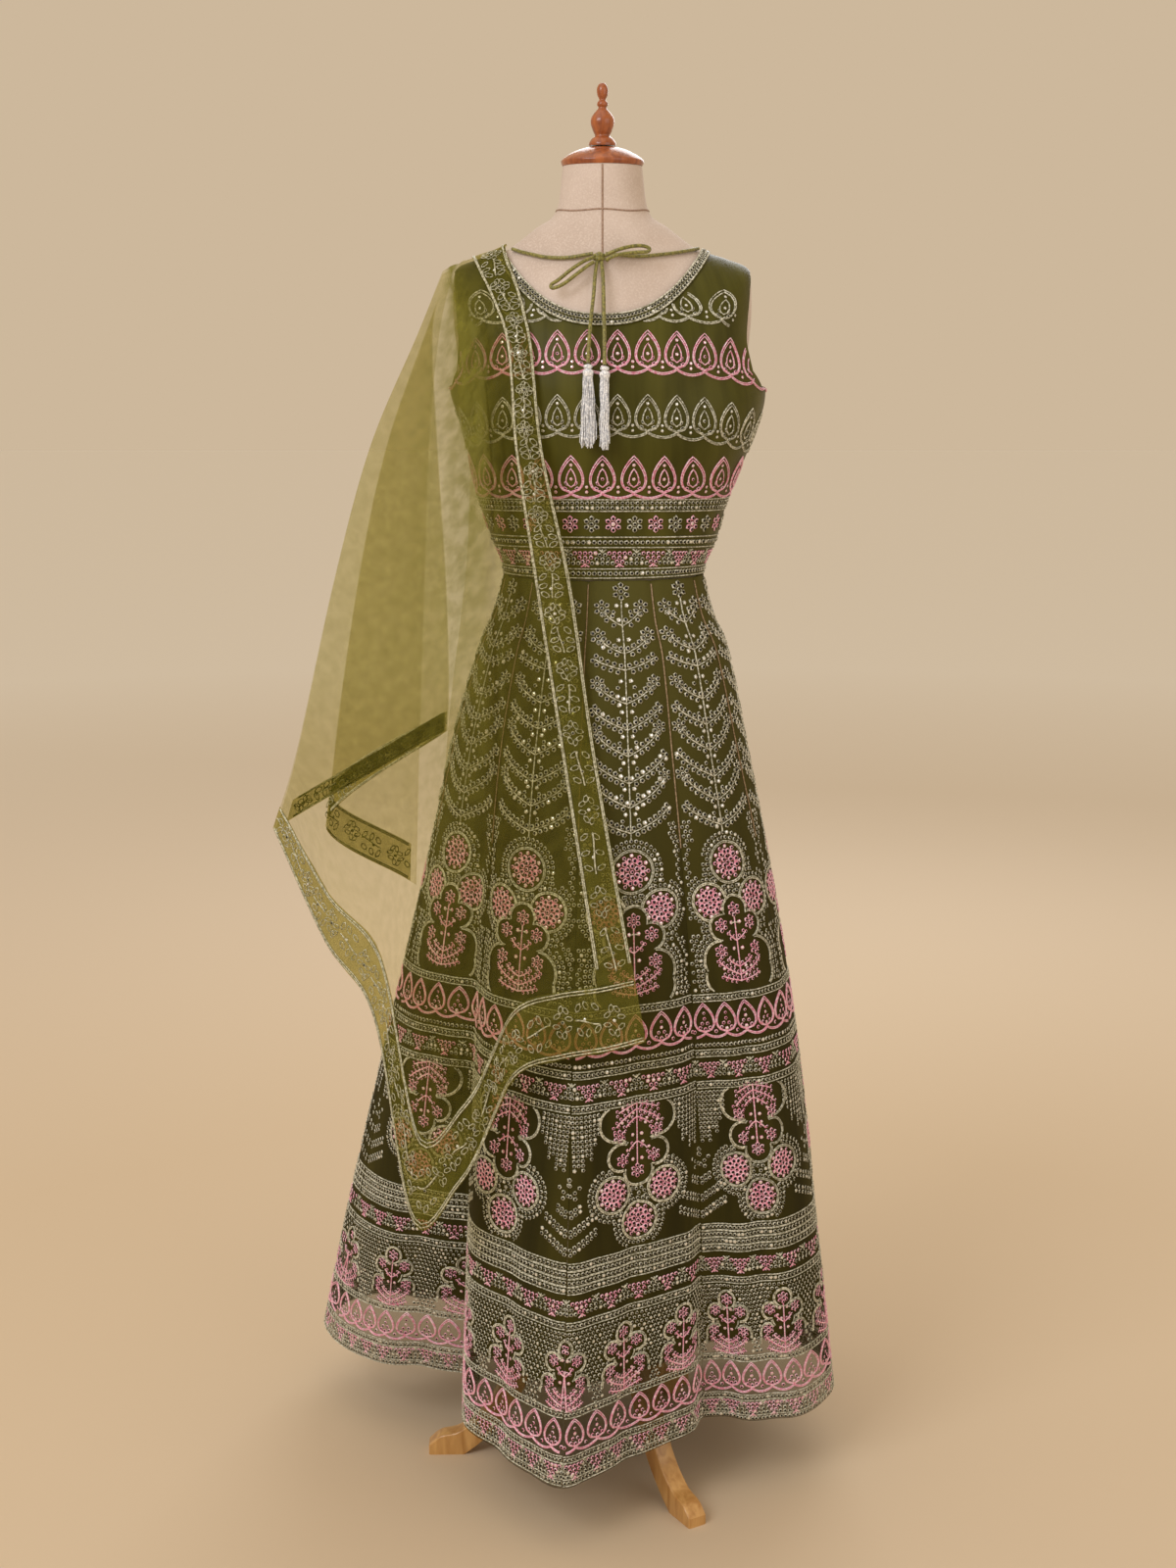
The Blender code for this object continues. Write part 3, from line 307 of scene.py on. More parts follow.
stoleSide = np.array((
    ((-.1810, 0, 1.4424), (-.2085, -.0235, 1.374), (-.264, -.027, 1.25), (-.308, -.026, 1.10),
     (-.356, -.026, .90), (-.384, -.026, .806)),
    ((-.1765, 0, 1.4446), (-.193, .000, 1.380), (-.190, .010, 1.25), (-.184, .018, 1.10),
     (-.184, .034, .98), (-.187, .046, .910)),
    ((-.1730, 0, 1.4458), (-.205, .026, 1.372), (-.252, .060, 1.25), (-.288, .080, 1.11),
     (-.322, .100, .93), (-.341, .100, .787)),
    ((-.1695, 0, 1.4470), (-.190, .050, 1.376), (-.207, .100, 1.25), (-.216, .122, 1.10),
     (-.229, .150, .88), (-.238, .168, .690))))
stoleFront = np.array((
    ((-.106, 0, 1.4708), (-.098, .096, 1.375), (-.096, .152, 1.26), (-.094, .150, 1.10),
     (-.098, .160, .90), (-.100, .196, .690)),
    ((-.128, 0, 1.4644), (-.118, .088, 1.375), (-.118, .134, 1.26), (-.120, .134, 1.10),
     (-.130, .150, .90), (-.136, .184, .680)),
    ((-.142, 0, 1.4602), (-.130, .082, 1.375), (-.130, .126, 1.26), (-.134, .120, 1.10),
     (-.148, .132, .90), (-.156, .164, .670)),
    ((-.152, 0, 1.4572), (-.142, .078, 1.375), (-.143, .122, 1.26), (-.148, .130, 1.10),
     (-.170, .148, .90), (-.186, .178, .660)),
    ((-.160, 0, 1.4545), (-.153, .068, 1.375), (-.157, .108, 1.26), (-.164, .108, 1.10),
     (-.190, .118, .90), (-.208, .140, .670))))


def smoothStep(step, first, second, slopeFirst, slopeSecond):
    return ((2 * step**3 - 3 * step**2 + 1) * first + (step**3 - 2 * step**2 + step) * slopeFirst
            + (3 * step**2 - 2 * step**3) * second + (step**3 - step**2) * slopeSecond)


# Smooth curve through a table's rows, read at fractional rows; a table per point is allowed
def readRows(table, row):
    row = np.atleast_1d(np.asarray(row, float))
    own = table.ndim == 3
    last = table.shape[1 if own else 0] - 1
    each = np.arange(len(row))

    def pick(i):
        return table[each, i] if own else table[i]

    row = np.clip(row, 0, last)
    start = np.minimum(row.astype(int), last - 1)
    first, second = pick(start), pick(start + 1)
    before, after = pick(np.maximum(start - 1, 0)), pick(np.minimum(start + 2, last))
    slopeFirst = (second - before) / np.where(start > 0, 2.0, 1.0)[:, None]
    slopeSecond = (after - first) / np.where(start + 2 <= last, 2.0, 1.0)[:, None]
    return smoothStep((row - start)[:, None], first, second, slopeFirst, slopeSecond)


# The same for a table whose rows stand at uneven places
def readPlaces(places, values, place):
    last = len(places) - 1
    start = np.clip(np.searchsorted(places, place, side="right") - 1, 0, last - 1)
    width = (places[start + 1] - places[start])[:, None]
    step = (place - places[start])[:, None] / width

    def slope(i):
        low, high = np.maximum(i - 1, 0), np.minimum(i + 1, last)
        return (values[high] - values[low]) / (places[high] - places[low])[:, None] * width

    return smoothStep(step, values[start], values[start + 1], slope(start), slope(start + 1))


# Degrees round the form, and metres
bust = {"angles": (57.0, 123.0), "spread": 22.0, "fullness": 0.014, "height": 1.268, "tall": 0.050}


def torsoPoint(row, angle):
    row, angle = np.broadcast_arrays(np.asarray(row, float), np.asarray(angle, float))
    halfWidth, back, front, zMid, zSide = readRows(torso, row.ravel())[:, :5].T
    turn = np.radians(angle.ravel())
    across, deep = np.cos(turn), np.sin(turn)
    z = zMid + (zSide - zMid) * np.abs(across) ** 2.5
    y = deep * np.where(deep < 0, back, front)
    for side in bust["angles"]:
        near = np.exp(-((angle.ravel() % 360 - side) / bust["spread"]) ** 2)
        level = np.exp(-((z - bust["height"]) / bust["tall"]) ** 2)
        y = y + np.where(deep > 0, bust["fullness"] * near * level, 0.0)
    return np.stack([halfWidth * across, y, z], 1)


def unit(vectors):
    return vectors / np.maximum(np.linalg.norm(vectors, axis=-1, keepdims=True), 1e-9)


def torsoNormal(row, angle):
    down = torsoPoint(row + 0.02, angle) - torsoPoint(row - 0.02, angle)
    around = torsoPoint(row, angle + 0.5) - torsoPoint(row, angle - 0.5)
    return unit(np.cross(down, around))


# Thickness of the cloths, and how far the middle of the bodice lies off the form
bodiceWall, skirtWall, stoleWall = 0.0015, 0.0012, 0.0010
bodiceLift = 0.00155
# Rows of the torso table where the bodice's seams run
neckRow, armpitRow, bandRow, waistRow = 3.0, 8.0, 10.0, 12.0


# The middle of the bodice's wall
def bodicePoint(row, angle, lift=0.0):
    row, angle = np.broadcast_arrays(np.asarray(row, float), np.asarray(angle, float))
    row, angle = row.ravel(), angle.ravel()
    ease, left, right = readRows(torso, row)[:, 5:].T
    across = np.cos(np.radians(angle))
    ease = ease + np.where(across > 0, right, left) * across**2
    return torsoPoint(row, angle) + torsoNormal(row, angle) * (bodiceLift + ease + lift)[:, None]


# Reach of the skirt's smooth rings, without its waves
def ringPoint(angle, z):
    right, left, back, front = readPlaces(-skirtRings[:, 0], skirtRings[:, 1:], -z).T
    across, deep = np.cos(np.radians(angle)), np.sin(np.radians(angle))
    return np.stack([across * np.where(across > 0, right, left),
                     deep * np.where(deep < 0, back, front)], 1)


# Heights and gaps in metres, and the first seam in degrees
skirtShape = {"panels": 10, "waist": 1.104, "waistGap": 0.0007, "hemAt": 0.090, "firstSeam": -134.0,
              "seamGap": 0.00025}


# The panels before their creases: seam counts round the skirt, down runs from 0 to 1
def skirtPlain(seam, down):
    edge = readPlaces(hemLoop[:, 0], hemLoop[:, 1:], seam % skirtShape["panels"])
    top = skirtShape["waist"] - skirtShape["waistGap"]
    z = top + (edge[:, 2] - top) * down
    angle = skirtShape["firstSeam"] + 360 / skirtShape["panels"] * seam
    wave = (edge[:, :2] - ringPoint(angle, np.full_like(z, skirtShape["hemAt"]))) * (down**1.6)[:, None]
    return np.column_stack([ringPoint(angle, z) + wave, z])


creases = {"depth": 0.0050, "perPanel": 3.0, "seamDip": 0.0022}


# Soft uneven troughs that deepen towards the hem, each with its own place and reach
def skirtPoint(seam, down):
    place = skirtPlain(seam, down)
    around = skirtPlain(seam + 0.01, down) - skirtPlain(seam - 0.01, down)
    below = (skirtPlain(seam, np.minimum(down + 0.01, 1.0))
             - skirtPlain(seam, np.maximum(down - 0.01, 0.0)))
    normal = unit(np.cross(below, around))
    turn = seam * 2 * math.pi / skirtShape["panels"]
    sway = 0.45 * np.sin(3 * turn + 5 * down) + 0.3 * np.sin(7 * turn + 1.3)
    trough = 0.5 - 0.5 * np.cos(creases["perPanel"] * 2 * math.pi * seam + 2.2 * sway)
    uneven = 0.55 + 0.45 * np.sin(11 * turn + 2.4 + 2.0 * down)
    seamDip = np.exp(-((seam - np.round(seam)) / 0.07) ** 2) * creases["seamDip"]
    inward = creases["depth"] * trough**1.6 * uneven * np.clip(down, 0, 1) ** 0.7 + seamDip * (1 - down)
    return place - normal * inward[:, None]


# Across counts the folds, and down runs from 0 at the shoulder to 1
def stolePoint(lines, across, down):
    stations = readRows(np.moveaxis(lines, 0, 1).reshape(lines.shape[1], -1), down * (lines.shape[1] - 1))
    return readRows(stations.reshape(len(stations), lines.shape[0], 3), across)


def gridOf(columns, rows):
    a, b = np.meshgrid(columns, rows)
    return a.ravel(), b.ravel()


# The dress's outside, so that the stole's points can be kept clear of it
def makeOutside():
    rows, angles = np.arange(2.0, waistRow + 0.01, 0.2), np.arange(0.0, 360.0, 5.0)
    angle, row = gridOf(angles, rows)
    points = bodicePoint(row, angle, bodiceWall / 2)
    n = len(angles)
    faces = [(i * n + j, (i + 1) * n + j, (i + 1) * n + (j + 1) % n, i * n + (j + 1) % n)
             for i in range(len(rows) - 1) for j in range(n)]
    return BVHTree.FromPolygons(points.tolist(), faces)


outside = makeOutside()
hipLine = 1.08  # below this height the stole hangs clear of the dress


def keepClear(points, gap):
    moved = points.copy()
    for i in np.nonzero(points[:, 2] > hipLine)[0]:
        place = Vector(points[i])
        near, normal, _, distance = outside.find_nearest(place)
        if (place - near).dot(normal) < 0 or distance < gap:
            moved[i] = near + normal * gap
    return moved


# Meshes
def linkMesh(name, mesh, materials):
    for material in materials:
        mesh.materials.append(material)
    piece = bpy.data.objects.new(name, mesh)
    bpy.context.scene.collection.objects.link(piece)
    return piece


def settle(piece, slotName, *nodes):
    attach(piece, "root")
    if nodes:
        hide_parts(*nodes)
    return piece


# Turns the faces outwards, and keeps edges that are sharper than the angle crisp
def finishFaces(mesh, crispAngle):
    shape = bmesh.new()
    shape.from_mesh(mesh)
    bmesh.ops.recalc_face_normals(shape, faces=shape.faces)
    shape.to_mesh(mesh)
    shape.free()
    mesh.shade_smooth()
    mesh.set_sharp_from_angle(angle=math.radians(crispAngle))


# A cloth shell: a grid of points on its middle, a wall either side and closed edges.
# flip turns the outside over. The cut's sizes are kept as the UV map "cut", and the number of
# layers that net reads as is kept on its points.
def clothShell(name, grid, wall, material, flip=False, layers=None):
    count, width = grid.shape[:2]
    across, down = np.gradient(grid, axis=1), np.gradient(grid, axis=0)
    normal = unit(np.cross(across, down) if flip else np.cross(down, across))
    points = np.concatenate([grid + normal * wall / 2, grid - normal * wall / 2]).reshape(-1, 3)
    inner = count * width
    index = np.arange(inner).reshape(count, width)
    quads = np.stack([index[:-1, :-1], index[1:, :-1], index[1:, 1:], index[:-1, 1:]], -1).reshape(-1, 4)
    rim = np.concatenate([index[0, :], index[1:, -1], index[-1, -2::-1], index[-2::-1, 0]])
    edges = np.stack([rim[:-1], rim[1:], rim[1:] + inner, rim[:-1] + inner], -1)
    faces = np.concatenate([quads, quads[:, ::-1] + inner, edges])
    mesh = bpy.data.meshes.new(name)
    mesh.from_pydata((points + stand).tolist(), [], faces.tolist())
    stepAcross = np.linalg.norm(np.diff(grid, axis=1), axis=2)
    stepDown = np.linalg.norm(np.diff(grid, axis=0), axis=2)
    u = np.concatenate([np.zeros((count, 1)), np.cumsum(stepAcross, 1)], 1)
    v = np.concatenate([np.zeros((1, width)), np.cumsum(stepDown, 0)], 0)
    cut = np.stack([u - u[:, -1:] / 2, v], -1).reshape(-1, 2)
    cut = np.concatenate([cut, cut])
    layer = mesh.uv_layers.new(name="cut")
    corner = np.zeros(len(mesh.loops), int)
    mesh.loops.foreach_get("vertex_index", corner)
    layer.data.foreach_set("uv", cut[corner].astype(np.float32).ravel())
    finishFaces(mesh, 50)
    if layers is not None:
        marks = mesh.attributes.new("layers", "FLOAT", "POINT")
        marks.data.foreach_set("value", np.tile(layers, 2).astype(np.float32))
    piece = linkMesh(name, mesh, [material])
    area = np.linalg.norm(np.cross(grid[1:, 1:] - grid[:-1, :-1],
                                   grid[1:, :-1] - grid[:-1, 1:]), axis=2)
    sizes = (float(u[:, -1].max()), float(v[-1].max()), float(area.sum() / 2))
    return piece, sizes


def declareSheet(piece, sizes):
    width, length, area = sizes
    min(area, width * length)
    print(f"{piece.name}: cut {width * 1000:.0f} x {length * 1000:.0f} mm, {area:.3f} m2")


# A closed ring-by-ring skin; the ends are closed by a centre point
def ringSkin(name, loops, material):
    count, sides = loops.shape[:2]
    points = np.concatenate([loops.reshape(-1, 3), loops[0].mean(0)[None], loops[-1].mean(0)[None]])
    faces = [(i * sides + j, (i + 1) * sides + j, (i + 1) * sides + (j + 1) % sides,
              i * sides + (j + 1) % sides) for i in range(count - 1) for j in range(sides)]
    top, bottom = count * sides, count * sides + 1
    faces += [(top, j, (j + 1) % sides) for j in range(sides)]
    last = (count - 1) * sides
    faces += [(bottom, last + (j + 1) % sides, last + j) for j in range(sides)]
    mesh = bpy.data.meshes.new(name)
    mesh.from_pydata((points + stand).tolist(), [], faces)
    finishFaces(mesh, 40)
    return linkMesh(name, mesh, [material])


def turnedPiece(name, profile, sides, material):
    profile = np.array(profile)
    turn = np.linspace(0, 2 * math.pi, sides, endpoint=False)
    loops = np.stack([np.outer(profile[:, 0], np.cos(turn)), np.outer(profile[:, 0], np.sin(turn)),
                      np.repeat(profile[:, 1:], sides, 1)], -1)
    return ringSkin(name, loops, material)


# Node trees that lay stitches
def newTree(name, sockets):
    tree = bpy.data.node_groups.new(name, "GeometryNodeTree")
    tree.interface.new_socket("Geometry", in_out="INPUT", socket_type="NodeSocketGeometry")
    for label, kind in sockets:
        tree.interface.new_socket(label, in_out="INPUT", socket_type="NodeSocket" + kind)
    tree.interface.new_socket("Geometry", in_out="OUTPUT", socket_type="NodeSocketGeometry")
    return tree, addNode(tree, "NodeGroupInput"), addNode(tree, "NodeGroupOutput")


# Loops of thread, each laid on its point, turned and grown as its attributes say
def makeLoopTree():
    tree, given, result = newTree("laidLoops", (("Stitch", "Object"), ("Loop Radius", "Float"),
                                                ("Thread", "Material"), ("Sequin", "Material"),
                                                ("Mirror", "Material")))
    stitch = addNode(tree, "GeometryNodeObjectInfo", {"Object": given.outputs["Stitch"]})
    turn = addNode(tree, "GeometryNodeInputNamedAttribute", {"Name": "turn"}, data_type="FLOAT_VECTOR")
    grow = addNode(tree, "GeometryNodeInputNamedAttribute", {"Name": "grow"}, data_type="FLOAT_VECTOR")
    rotation = addNode(tree, "FunctionNodeEulerToRotation", {"Euler": turn.outputs["Attribute"]})
    size = addNode(tree, "ShaderNodeVectorMath", {0: grow.outputs["Attribute"], "Scale":
                                                  given.outputs["Loop Radius"]}, operation="SCALE")
    placed = addNode(tree, "GeometryNodeInstanceOnPoints", {
        "Points": given.outputs["Geometry"], "Instance": stitch.outputs["Geometry"],
        "Rotation": rotation.outputs[0], "Scale": size.outputs[0]})
    real = addNode(tree, "GeometryNodeRealizeInstances", {"Geometry": placed.outputs[0]})
    thread = addNode(tree, "GeometryNodeSetMaterial", {"Geometry": real.outputs[0],
                                                       "Material": given.outputs["Thread"]})
    # centre discs take the painted dark: painted shade of the hole and painted dark reflection
    centre = addNode(tree, "GeometryNodeInputNamedAttribute", {"Name": "sequin"}, data_type="BOOLEAN")
    sequin = addNode(tree, "GeometryNodeSetMaterial", {
        "Geometry": thread.outputs[0], "Selection": centre.outputs["Attribute"],
        "Material": given.outputs["Sequin"]})
    bright = addNode(tree, "GeometryNodeInputNamedAttribute", {"Name": "mirror"}, data_type="BOOLEAN")
    both = addNode(tree, "FunctionNodeBooleanMath", {0: centre.outputs["Attribute"],
                                                     1: bright.outputs["Attribute"]}, operation="AND")
    mirror = addNode(tree, "GeometryNodeSetMaterial", {
        "Geometry": sequin.outputs[0], "Selection": both.outputs[0],
        "Material": given.outputs["Mirror"]})
    tree.links.new(mirror.outputs[0], result.inputs[0])
    return tree


# Threads, cords and strands: every edge path becomes a thin round line
def makeLineTree():
    tree, given, result = newTree("laidThreads", (("Thread Radius", "Float"), ("Sides", "Int"),
                                                  ("Thread", "Material")))
    path = addNode(tree, "GeometryNodeMeshToCurve", {"Mesh": given.outputs["Geometry"]})
    ring = addNode(tree, "GeometryNodeCurvePrimitiveCircle", {
        "Resolution": given.outputs["Sides"], "Radius": given.outputs["Thread Radius"]})
    tube = addNode(tree, "GeometryNodeCurveToMesh", {"Curve": path.outputs[0], "Profile Curve":
                                                     ring.outputs[0], "Fill Caps": True})
    real = addNode(tree, "GeometryNodeRealizeInstances", {"Geometry": tube.outputs[0]})
    thread = addNode(tree, "GeometryNodeSetMaterial", {"Geometry": real.outputs[0],
                                                       "Material": given.outputs["Thread"]})
    tree.links.new(thread.outputs[0], result.inputs[0])
    return tree


loopTree, lineTree = makeLoopTree(), makeLineTree()


# Runs a tree on a mesh and gives back the plain mesh
def runTree(tree, mesh, values):
    carrier = bpy.data.objects.new("carrier", mesh)
    bpy.context.scene.collection.objects.link(carrier)
    laid = carrier.modifiers.new("laid", "NODES")
    laid.node_group = tree
    for socket in tree.interface.items_tree:
        if socket.in_out == "INPUT" and socket.name in values:
            laid[socket.identifier] = values[socket.name]
    depsgraph = bpy.context.evaluated_depsgraph_get()
    result = bpy.data.meshes.new_from_object(carrier.evaluated_get(depsgraph))
    bpy.data.objects.remove(carrier)
    for name in ("turn", "grow", "mirror", "sequin"):
        if name in result.attributes:
            result.attributes.remove(result.attributes[name])
    return result


# Lays thread along paths of points, each given as a list
def layThread(paths, radius, sides, thread):
    points, edges = [], []
    for path in paths:
        start = len(points)
        points.extend(path)
        edges.extend((start + i, start + i + 1) for i in range(len(path) - 1))
    mesh = bpy.data.meshes.new("marks")
    mesh.from_pydata(points, edges, [])
    return runTree(lineTree, mesh, {"Thread Radius": radius, "Sides": sides, "Thread": thread})


# One stitch: a raised ring of thread, open in the middle or sunk to a centre disc; the disc is painted
# near-black for the shade of the hole and dark reflection, unless it is a silver mirror
def stitchObject(name, sides, hollow):
    turn = np.linspace(0, 2 * math.pi, sides, endpoint=False)
    rings = ((1.0, 0.0), (0.84, 0.30), (0.68, 0.0)) if hollow else ((1.0, 0.0), (0.58, 0.42))
    points = [(r * math.cos(a), r * math.sin(a), z) for r, z in rings for a in turn]
    faces = [(k * sides + j, k * sides + (j + 1) % sides, (k + 1) * sides + (j + 1) % sides,
              (k + 1) * sides + j) for k in range(len(rings) - 1) for j in range(sides)]
    if hollow:
        faces += [(2 * sides + j, 2 * sides + (j + 1) % sides, (j + 1) % sides, j) for j in range(sides)]
    else:
        points.append((0.0, 0.0, 0.08))
        faces += [(sides + j, sides + (j + 1) % sides, 2 * sides) for j in range(sides)]
        faces.append(tuple(range(sides))[::-1])
    mesh = bpy.data.meshes.new(name)
    mesh.from_pydata(points, [], faces)
    mesh.shade_smooth()
    # the sunk centre's faces, painted near-black for shade and dark reflection unless a mirror
    marks = mesh.attributes.new("sequin", "BOOLEAN", "FACE")
    marks.data.foreach_set("value", [not hollow and sides <= i < 2 * sides for i in range(len(faces))])
    stitch = bpy.data.objects.new(name, mesh)
    stitch.hide_render = True
    bpy.context.scene.collection.objects.link(stitch)
    return stitch


ringStitch = stitchObject("ringStitch", 5, False)
petalStitch = stitchObject("petalStitch", 6, True)


def eulerOf(right, normal):
    up = np.cross(normal, right)
    return np.stack([np.arctan2(up[:, 2], normal[:, 2]), -np.arcsin(np.clip(right[:, 2], -1, 1)),
                     np.arctan2(right[:, 1], right[:, 0])], 1)


# surface(x, y) gives points for chart places in millimetres; outward is +1 or -1
def surfaceFrame(surface, x, y, outward):
    right = surface(x + 0.6, y) - surface(x - 0.6, y)
    down = surface(x, y + 0.6) - surface(x, y - 0.6)
    normal = unit(np.cross(down, right)) * outward
    return unit(right - normal * np.sum(right * normal, 1, keepdims=True)), normal


threadSizes = {"lift": 0.0004, "loopRadius": 0.001, "line": 0.00098, "lineSides": 3}


# Lays a chart's loops and lines on a surface and joins them into one piece
def stitchChart(name, chart, surface, lift, outward, threads, slotName):
    parts = []
    if chart["loops"]:
        marks = np.array(chart["loops"])
        x, y, size, stretch, spin, tone, mirror, hollow = marks.T
        right, normal = surfaceFrame(surface, x, y, outward)
        up = np.cross(normal, right)
        right = unit(right * np.cos(spin)[:, None] + up * np.sin(spin)[:, None])
        place = surface(x, y) + normal * (lift + threadSizes["lift"])
        turn = eulerOf(right, normal)
        grow = np.stack([size * stretch, size, size * 0.8], 1)
        for shade in np.unique(tone):
            for isOpen in (0, 1):
                mine = (tone == shade) & (hollow == isOpen)
                if not mine.any():
                    continue
                mesh = bpy.data.meshes.new("marks")
                mesh.from_pydata(place[mine].tolist(), [], [])
                for label, values in (("turn", turn), ("grow", grow)):
                    layer = mesh.attributes.new(label, "FLOAT_VECTOR", "POINT")
                    layer.data.foreach_set("vector", values[mine].astype(np.float32).ravel())
                layer = mesh.attributes.new("mirror", "BOOLEAN", "POINT")
                layer.data.foreach_set("value", mirror[mine].astype(bool))
                parts.append(runTree(loopTree, mesh, {
                    "Stitch": petalStitch if isOpen else ringStitch,
                    "Loop Radius": threadSizes["loopRadius"], "Thread": threads[int(shade)],
                    "Sequin": paintedDarkCentre, "Mirror": mirrorDisc}))
    for shade in sorted({tone for line, tone in chart["lines"]}):
        lines = [line for line, tone in chart["lines"] if tone == shade and len(line) > 1]
        marks = np.array([point for line in lines for point in line], float)
        _, normal = surfaceFrame(surface, marks[:, 0], marks[:, 1], outward)
        laid = surface(marks[:, 0], marks[:, 1]) + normal * (lift + threadSizes["line"] * 0.6)
        ends = np.cumsum([len(line) for line in lines])[:-1]
        parts.append(layThread([path.tolist() for path in np.split(laid, ends)], threadSizes["line"],
                               threadSizes["lineSides"], threads[shade]))
    return joinMeshes(name, parts, slotName)


def joinMeshes(name, parts, slotName):
    whole = bmesh.new()
    materials = []
    for mesh in parts:
        start = len(whole.faces)
        whole.from_mesh(mesh)
        whole.faces.ensure_lookup_table()
        places = []
        for material in mesh.materials:
            if material not in materials:
                materials.append(material)
            places.append(materials.index(material))
        for face in whole.faces[start:]:
            face.material_index = places[face.material_index]
            face.smooth = True
    bmesh.ops.translate(whole, verts=whole.verts, vec=stand)
    mesh = bpy.data.meshes.new(name)
    whole.to_mesh(mesh)
    whole.free()
    piece = linkMesh(name, mesh, materials)
    print(f"{name}: {sum(len(p.vertices) - 2 for p in mesh.polygons)} triangles")
    return settle(piece, slotName)


# Charts: x to the right and y down, in millimetres
sage, pink, seamTone = 0, 1, 2
threads = [sageThread, pinkThread, seamThread]
chance = np.random.default_rng(7)


def newChart():
    return {"loops": [], "lines": []}


def addLoop(chart, x, y, tone, size=3.0, mirror=None, stretch=1.0, spin=0.0, hollow=0):
    if mirror is None:
        mirror = chance.random() < 0.10
    chart["loops"].append((x, y, size, stretch, spin, tone, float(mirror), hollow))


def addLine(chart, points, tone):
    chart["lines"].append((points, tone))


def onCircle(x, y, radius, turn):
    return x + radius * math.cos(turn), y + radius * math.sin(turn)


# The unbroken stretches of a line where it may be laid
def stretchesOf(points, free):
    run = []
    for point, fine in [*zip(points, free), (None, False)]:
        if fine:
            run.append(point)
            continue
        if len(run) > 1:
            yield run
        run = []


# Six petals round a disc
def star(chart, x, y, tone, radius=9.0, mirror=0):
    addLoop(chart, x, y, tone, radius * 0.31, mirror)
    for i in range(6):
        turn = math.pi / 3 * i + math.pi / 6
        addLoop(chart, *onCircle(x, y, radius * 0.66, turn), tone, radius * 0.32, 0, 1.2, -turn)


# A chain of loops, between two threads or bare
def row(chart, x0, x1, y, tone, pitch=5.6, size=2.8, lines=True):
    count = max(int(round((x1 - x0) / pitch)), 1)
    step = (x1 - x0) / count
    for i in range(count):
        addLoop(chart, x0 + step * (i + 0.5), y, tone, size)
    if lines:
        for side in (-1, 1):
            places = np.linspace(x0, x1, max(int((x1 - x0) / 9), 2))
            addLine(chart, [(x, y + side * (size + 1.2)) for x in places], tone)


# Two arms that sweep up from the stem, each a thread with leaf loops along both its sides
def branch(chart, x, y, reach, rise, tone, sides=(-1, 1), sign=-1, pitch=6.6, size=3.3):
    steps = np.linspace(0, 1, 24)
    path = np.stack([reach * np.sin(steps * 1.35) / math.sin(1.35), sign * rise * steps**1.1], 1)
    along = np.concatenate([[0], np.cumsum(np.linalg.norm(np.diff(path, axis=0), axis=1))])
    count = max(int(along[-1] / pitch), 1)
    for side in (-1, 1):
        addLine(chart, [(x + side * px, y + py) for px, py in path[::4]], tone)
        for k, off in enumerate(sides):
            for i in range(count):
                t = (i + 0.75 + 0.25 * (k % 2)) * along[-1] / count
                px, py = np.interp(t, along, path[:, 0]), np.interp(t, along, path[:, 1])
                slope = math.atan2(np.interp(t + 1, along, path[:, 1]) - py,
                                   np.interp(t + 1, along, path[:, 0]) - px + 1e-6)
                addLoop(chart, x + side * (px - math.sin(slope) * size * 1.2 * off),
                        y + py + math.cos(slope) * size * 1.2 * off, tone, size)


# Two rings of petals, with spokes and discs out to the rim
def wheel(chart, x, y, radius, tone):
    addLoop(chart, x, y, tone, 2.8, 0)
    for ring, count, size in ((0.30, 6, 3.4), (0.58, 12, 3.6)):
        for i in range(count):
            turn = 2 * math.pi * (i + 0.5) / count
            addLoop(chart, *onCircle(x, y, radius * ring, turn), tone, size, 0, 1.15, -turn)
    for i in range(12):
        turn = 2 * math.pi * i / 12
        addLoop(chart, *onCircle(x, y, radius * 0.83, turn), tone, 2.7, i % 2)
        if i % 2 == 0:
            addLine(chart, [onCircle(x, y, r, turn) for r in (radius * 0.45, radius * 0.72)], tone)


# A little plant: a star, two more on a V, two more on a broad fan of leaves. sign -1 hangs it
def sprig(chart, x, y, tone, sign=1, scale=1.0):
    star(chart, x, y, tone, 9.4 * scale)
    for side in (-1, 1):
        addLoop(chart, x + side * 6.0 * scale, y + sign * 15 * scale, tone, 2.7 * scale, 1)
        addLoop(chart, x + side * 6.0 * scale, y + sign * 46 * scale, tone, 2.6 * scale, 1)
        star(chart, x + side * 21.0 * scale, y + sign * 17 * scale, tone, 9.0 * scale)
        star(chart, x + side * 25.0 * scale, y + sign * 48 * scale, tone, 9.0 * scale)
    for root, reach, rise, pitch in ((37, 13, 12, 6.4), (68, 17, 12, 5.8), (78, 31, 21, 5.6),
                                     (85, 27, 9, 5.8)):
        branch(chart, x, y + sign * root * scale, reach * scale, rise * scale, tone, (-1, 0.9), -sign,
               pitch * scale, 2.3 * scale)
    addLine(chart, [(x, y + sign * step * scale) for step in np.linspace(9, 86, 12)], tone)


def dropShape(x, base, width, height, sign=-1, count=12):
    points = []
    for i in range(count + 1):
        t = i / count
        half = math.sqrt(max(1 - ((0.35 - t) / 0.35) ** 2, 0)) if t < 0.35 else \
            math.cos((t - 0.35) / 0.65 * math.pi / 2) ** 0.85
        points.append((width / 2 * half, base + sign * height * t))
    return [(x + px, py) for px, py in points] + [(x - px, py) for px, py in points[-2::-1]]


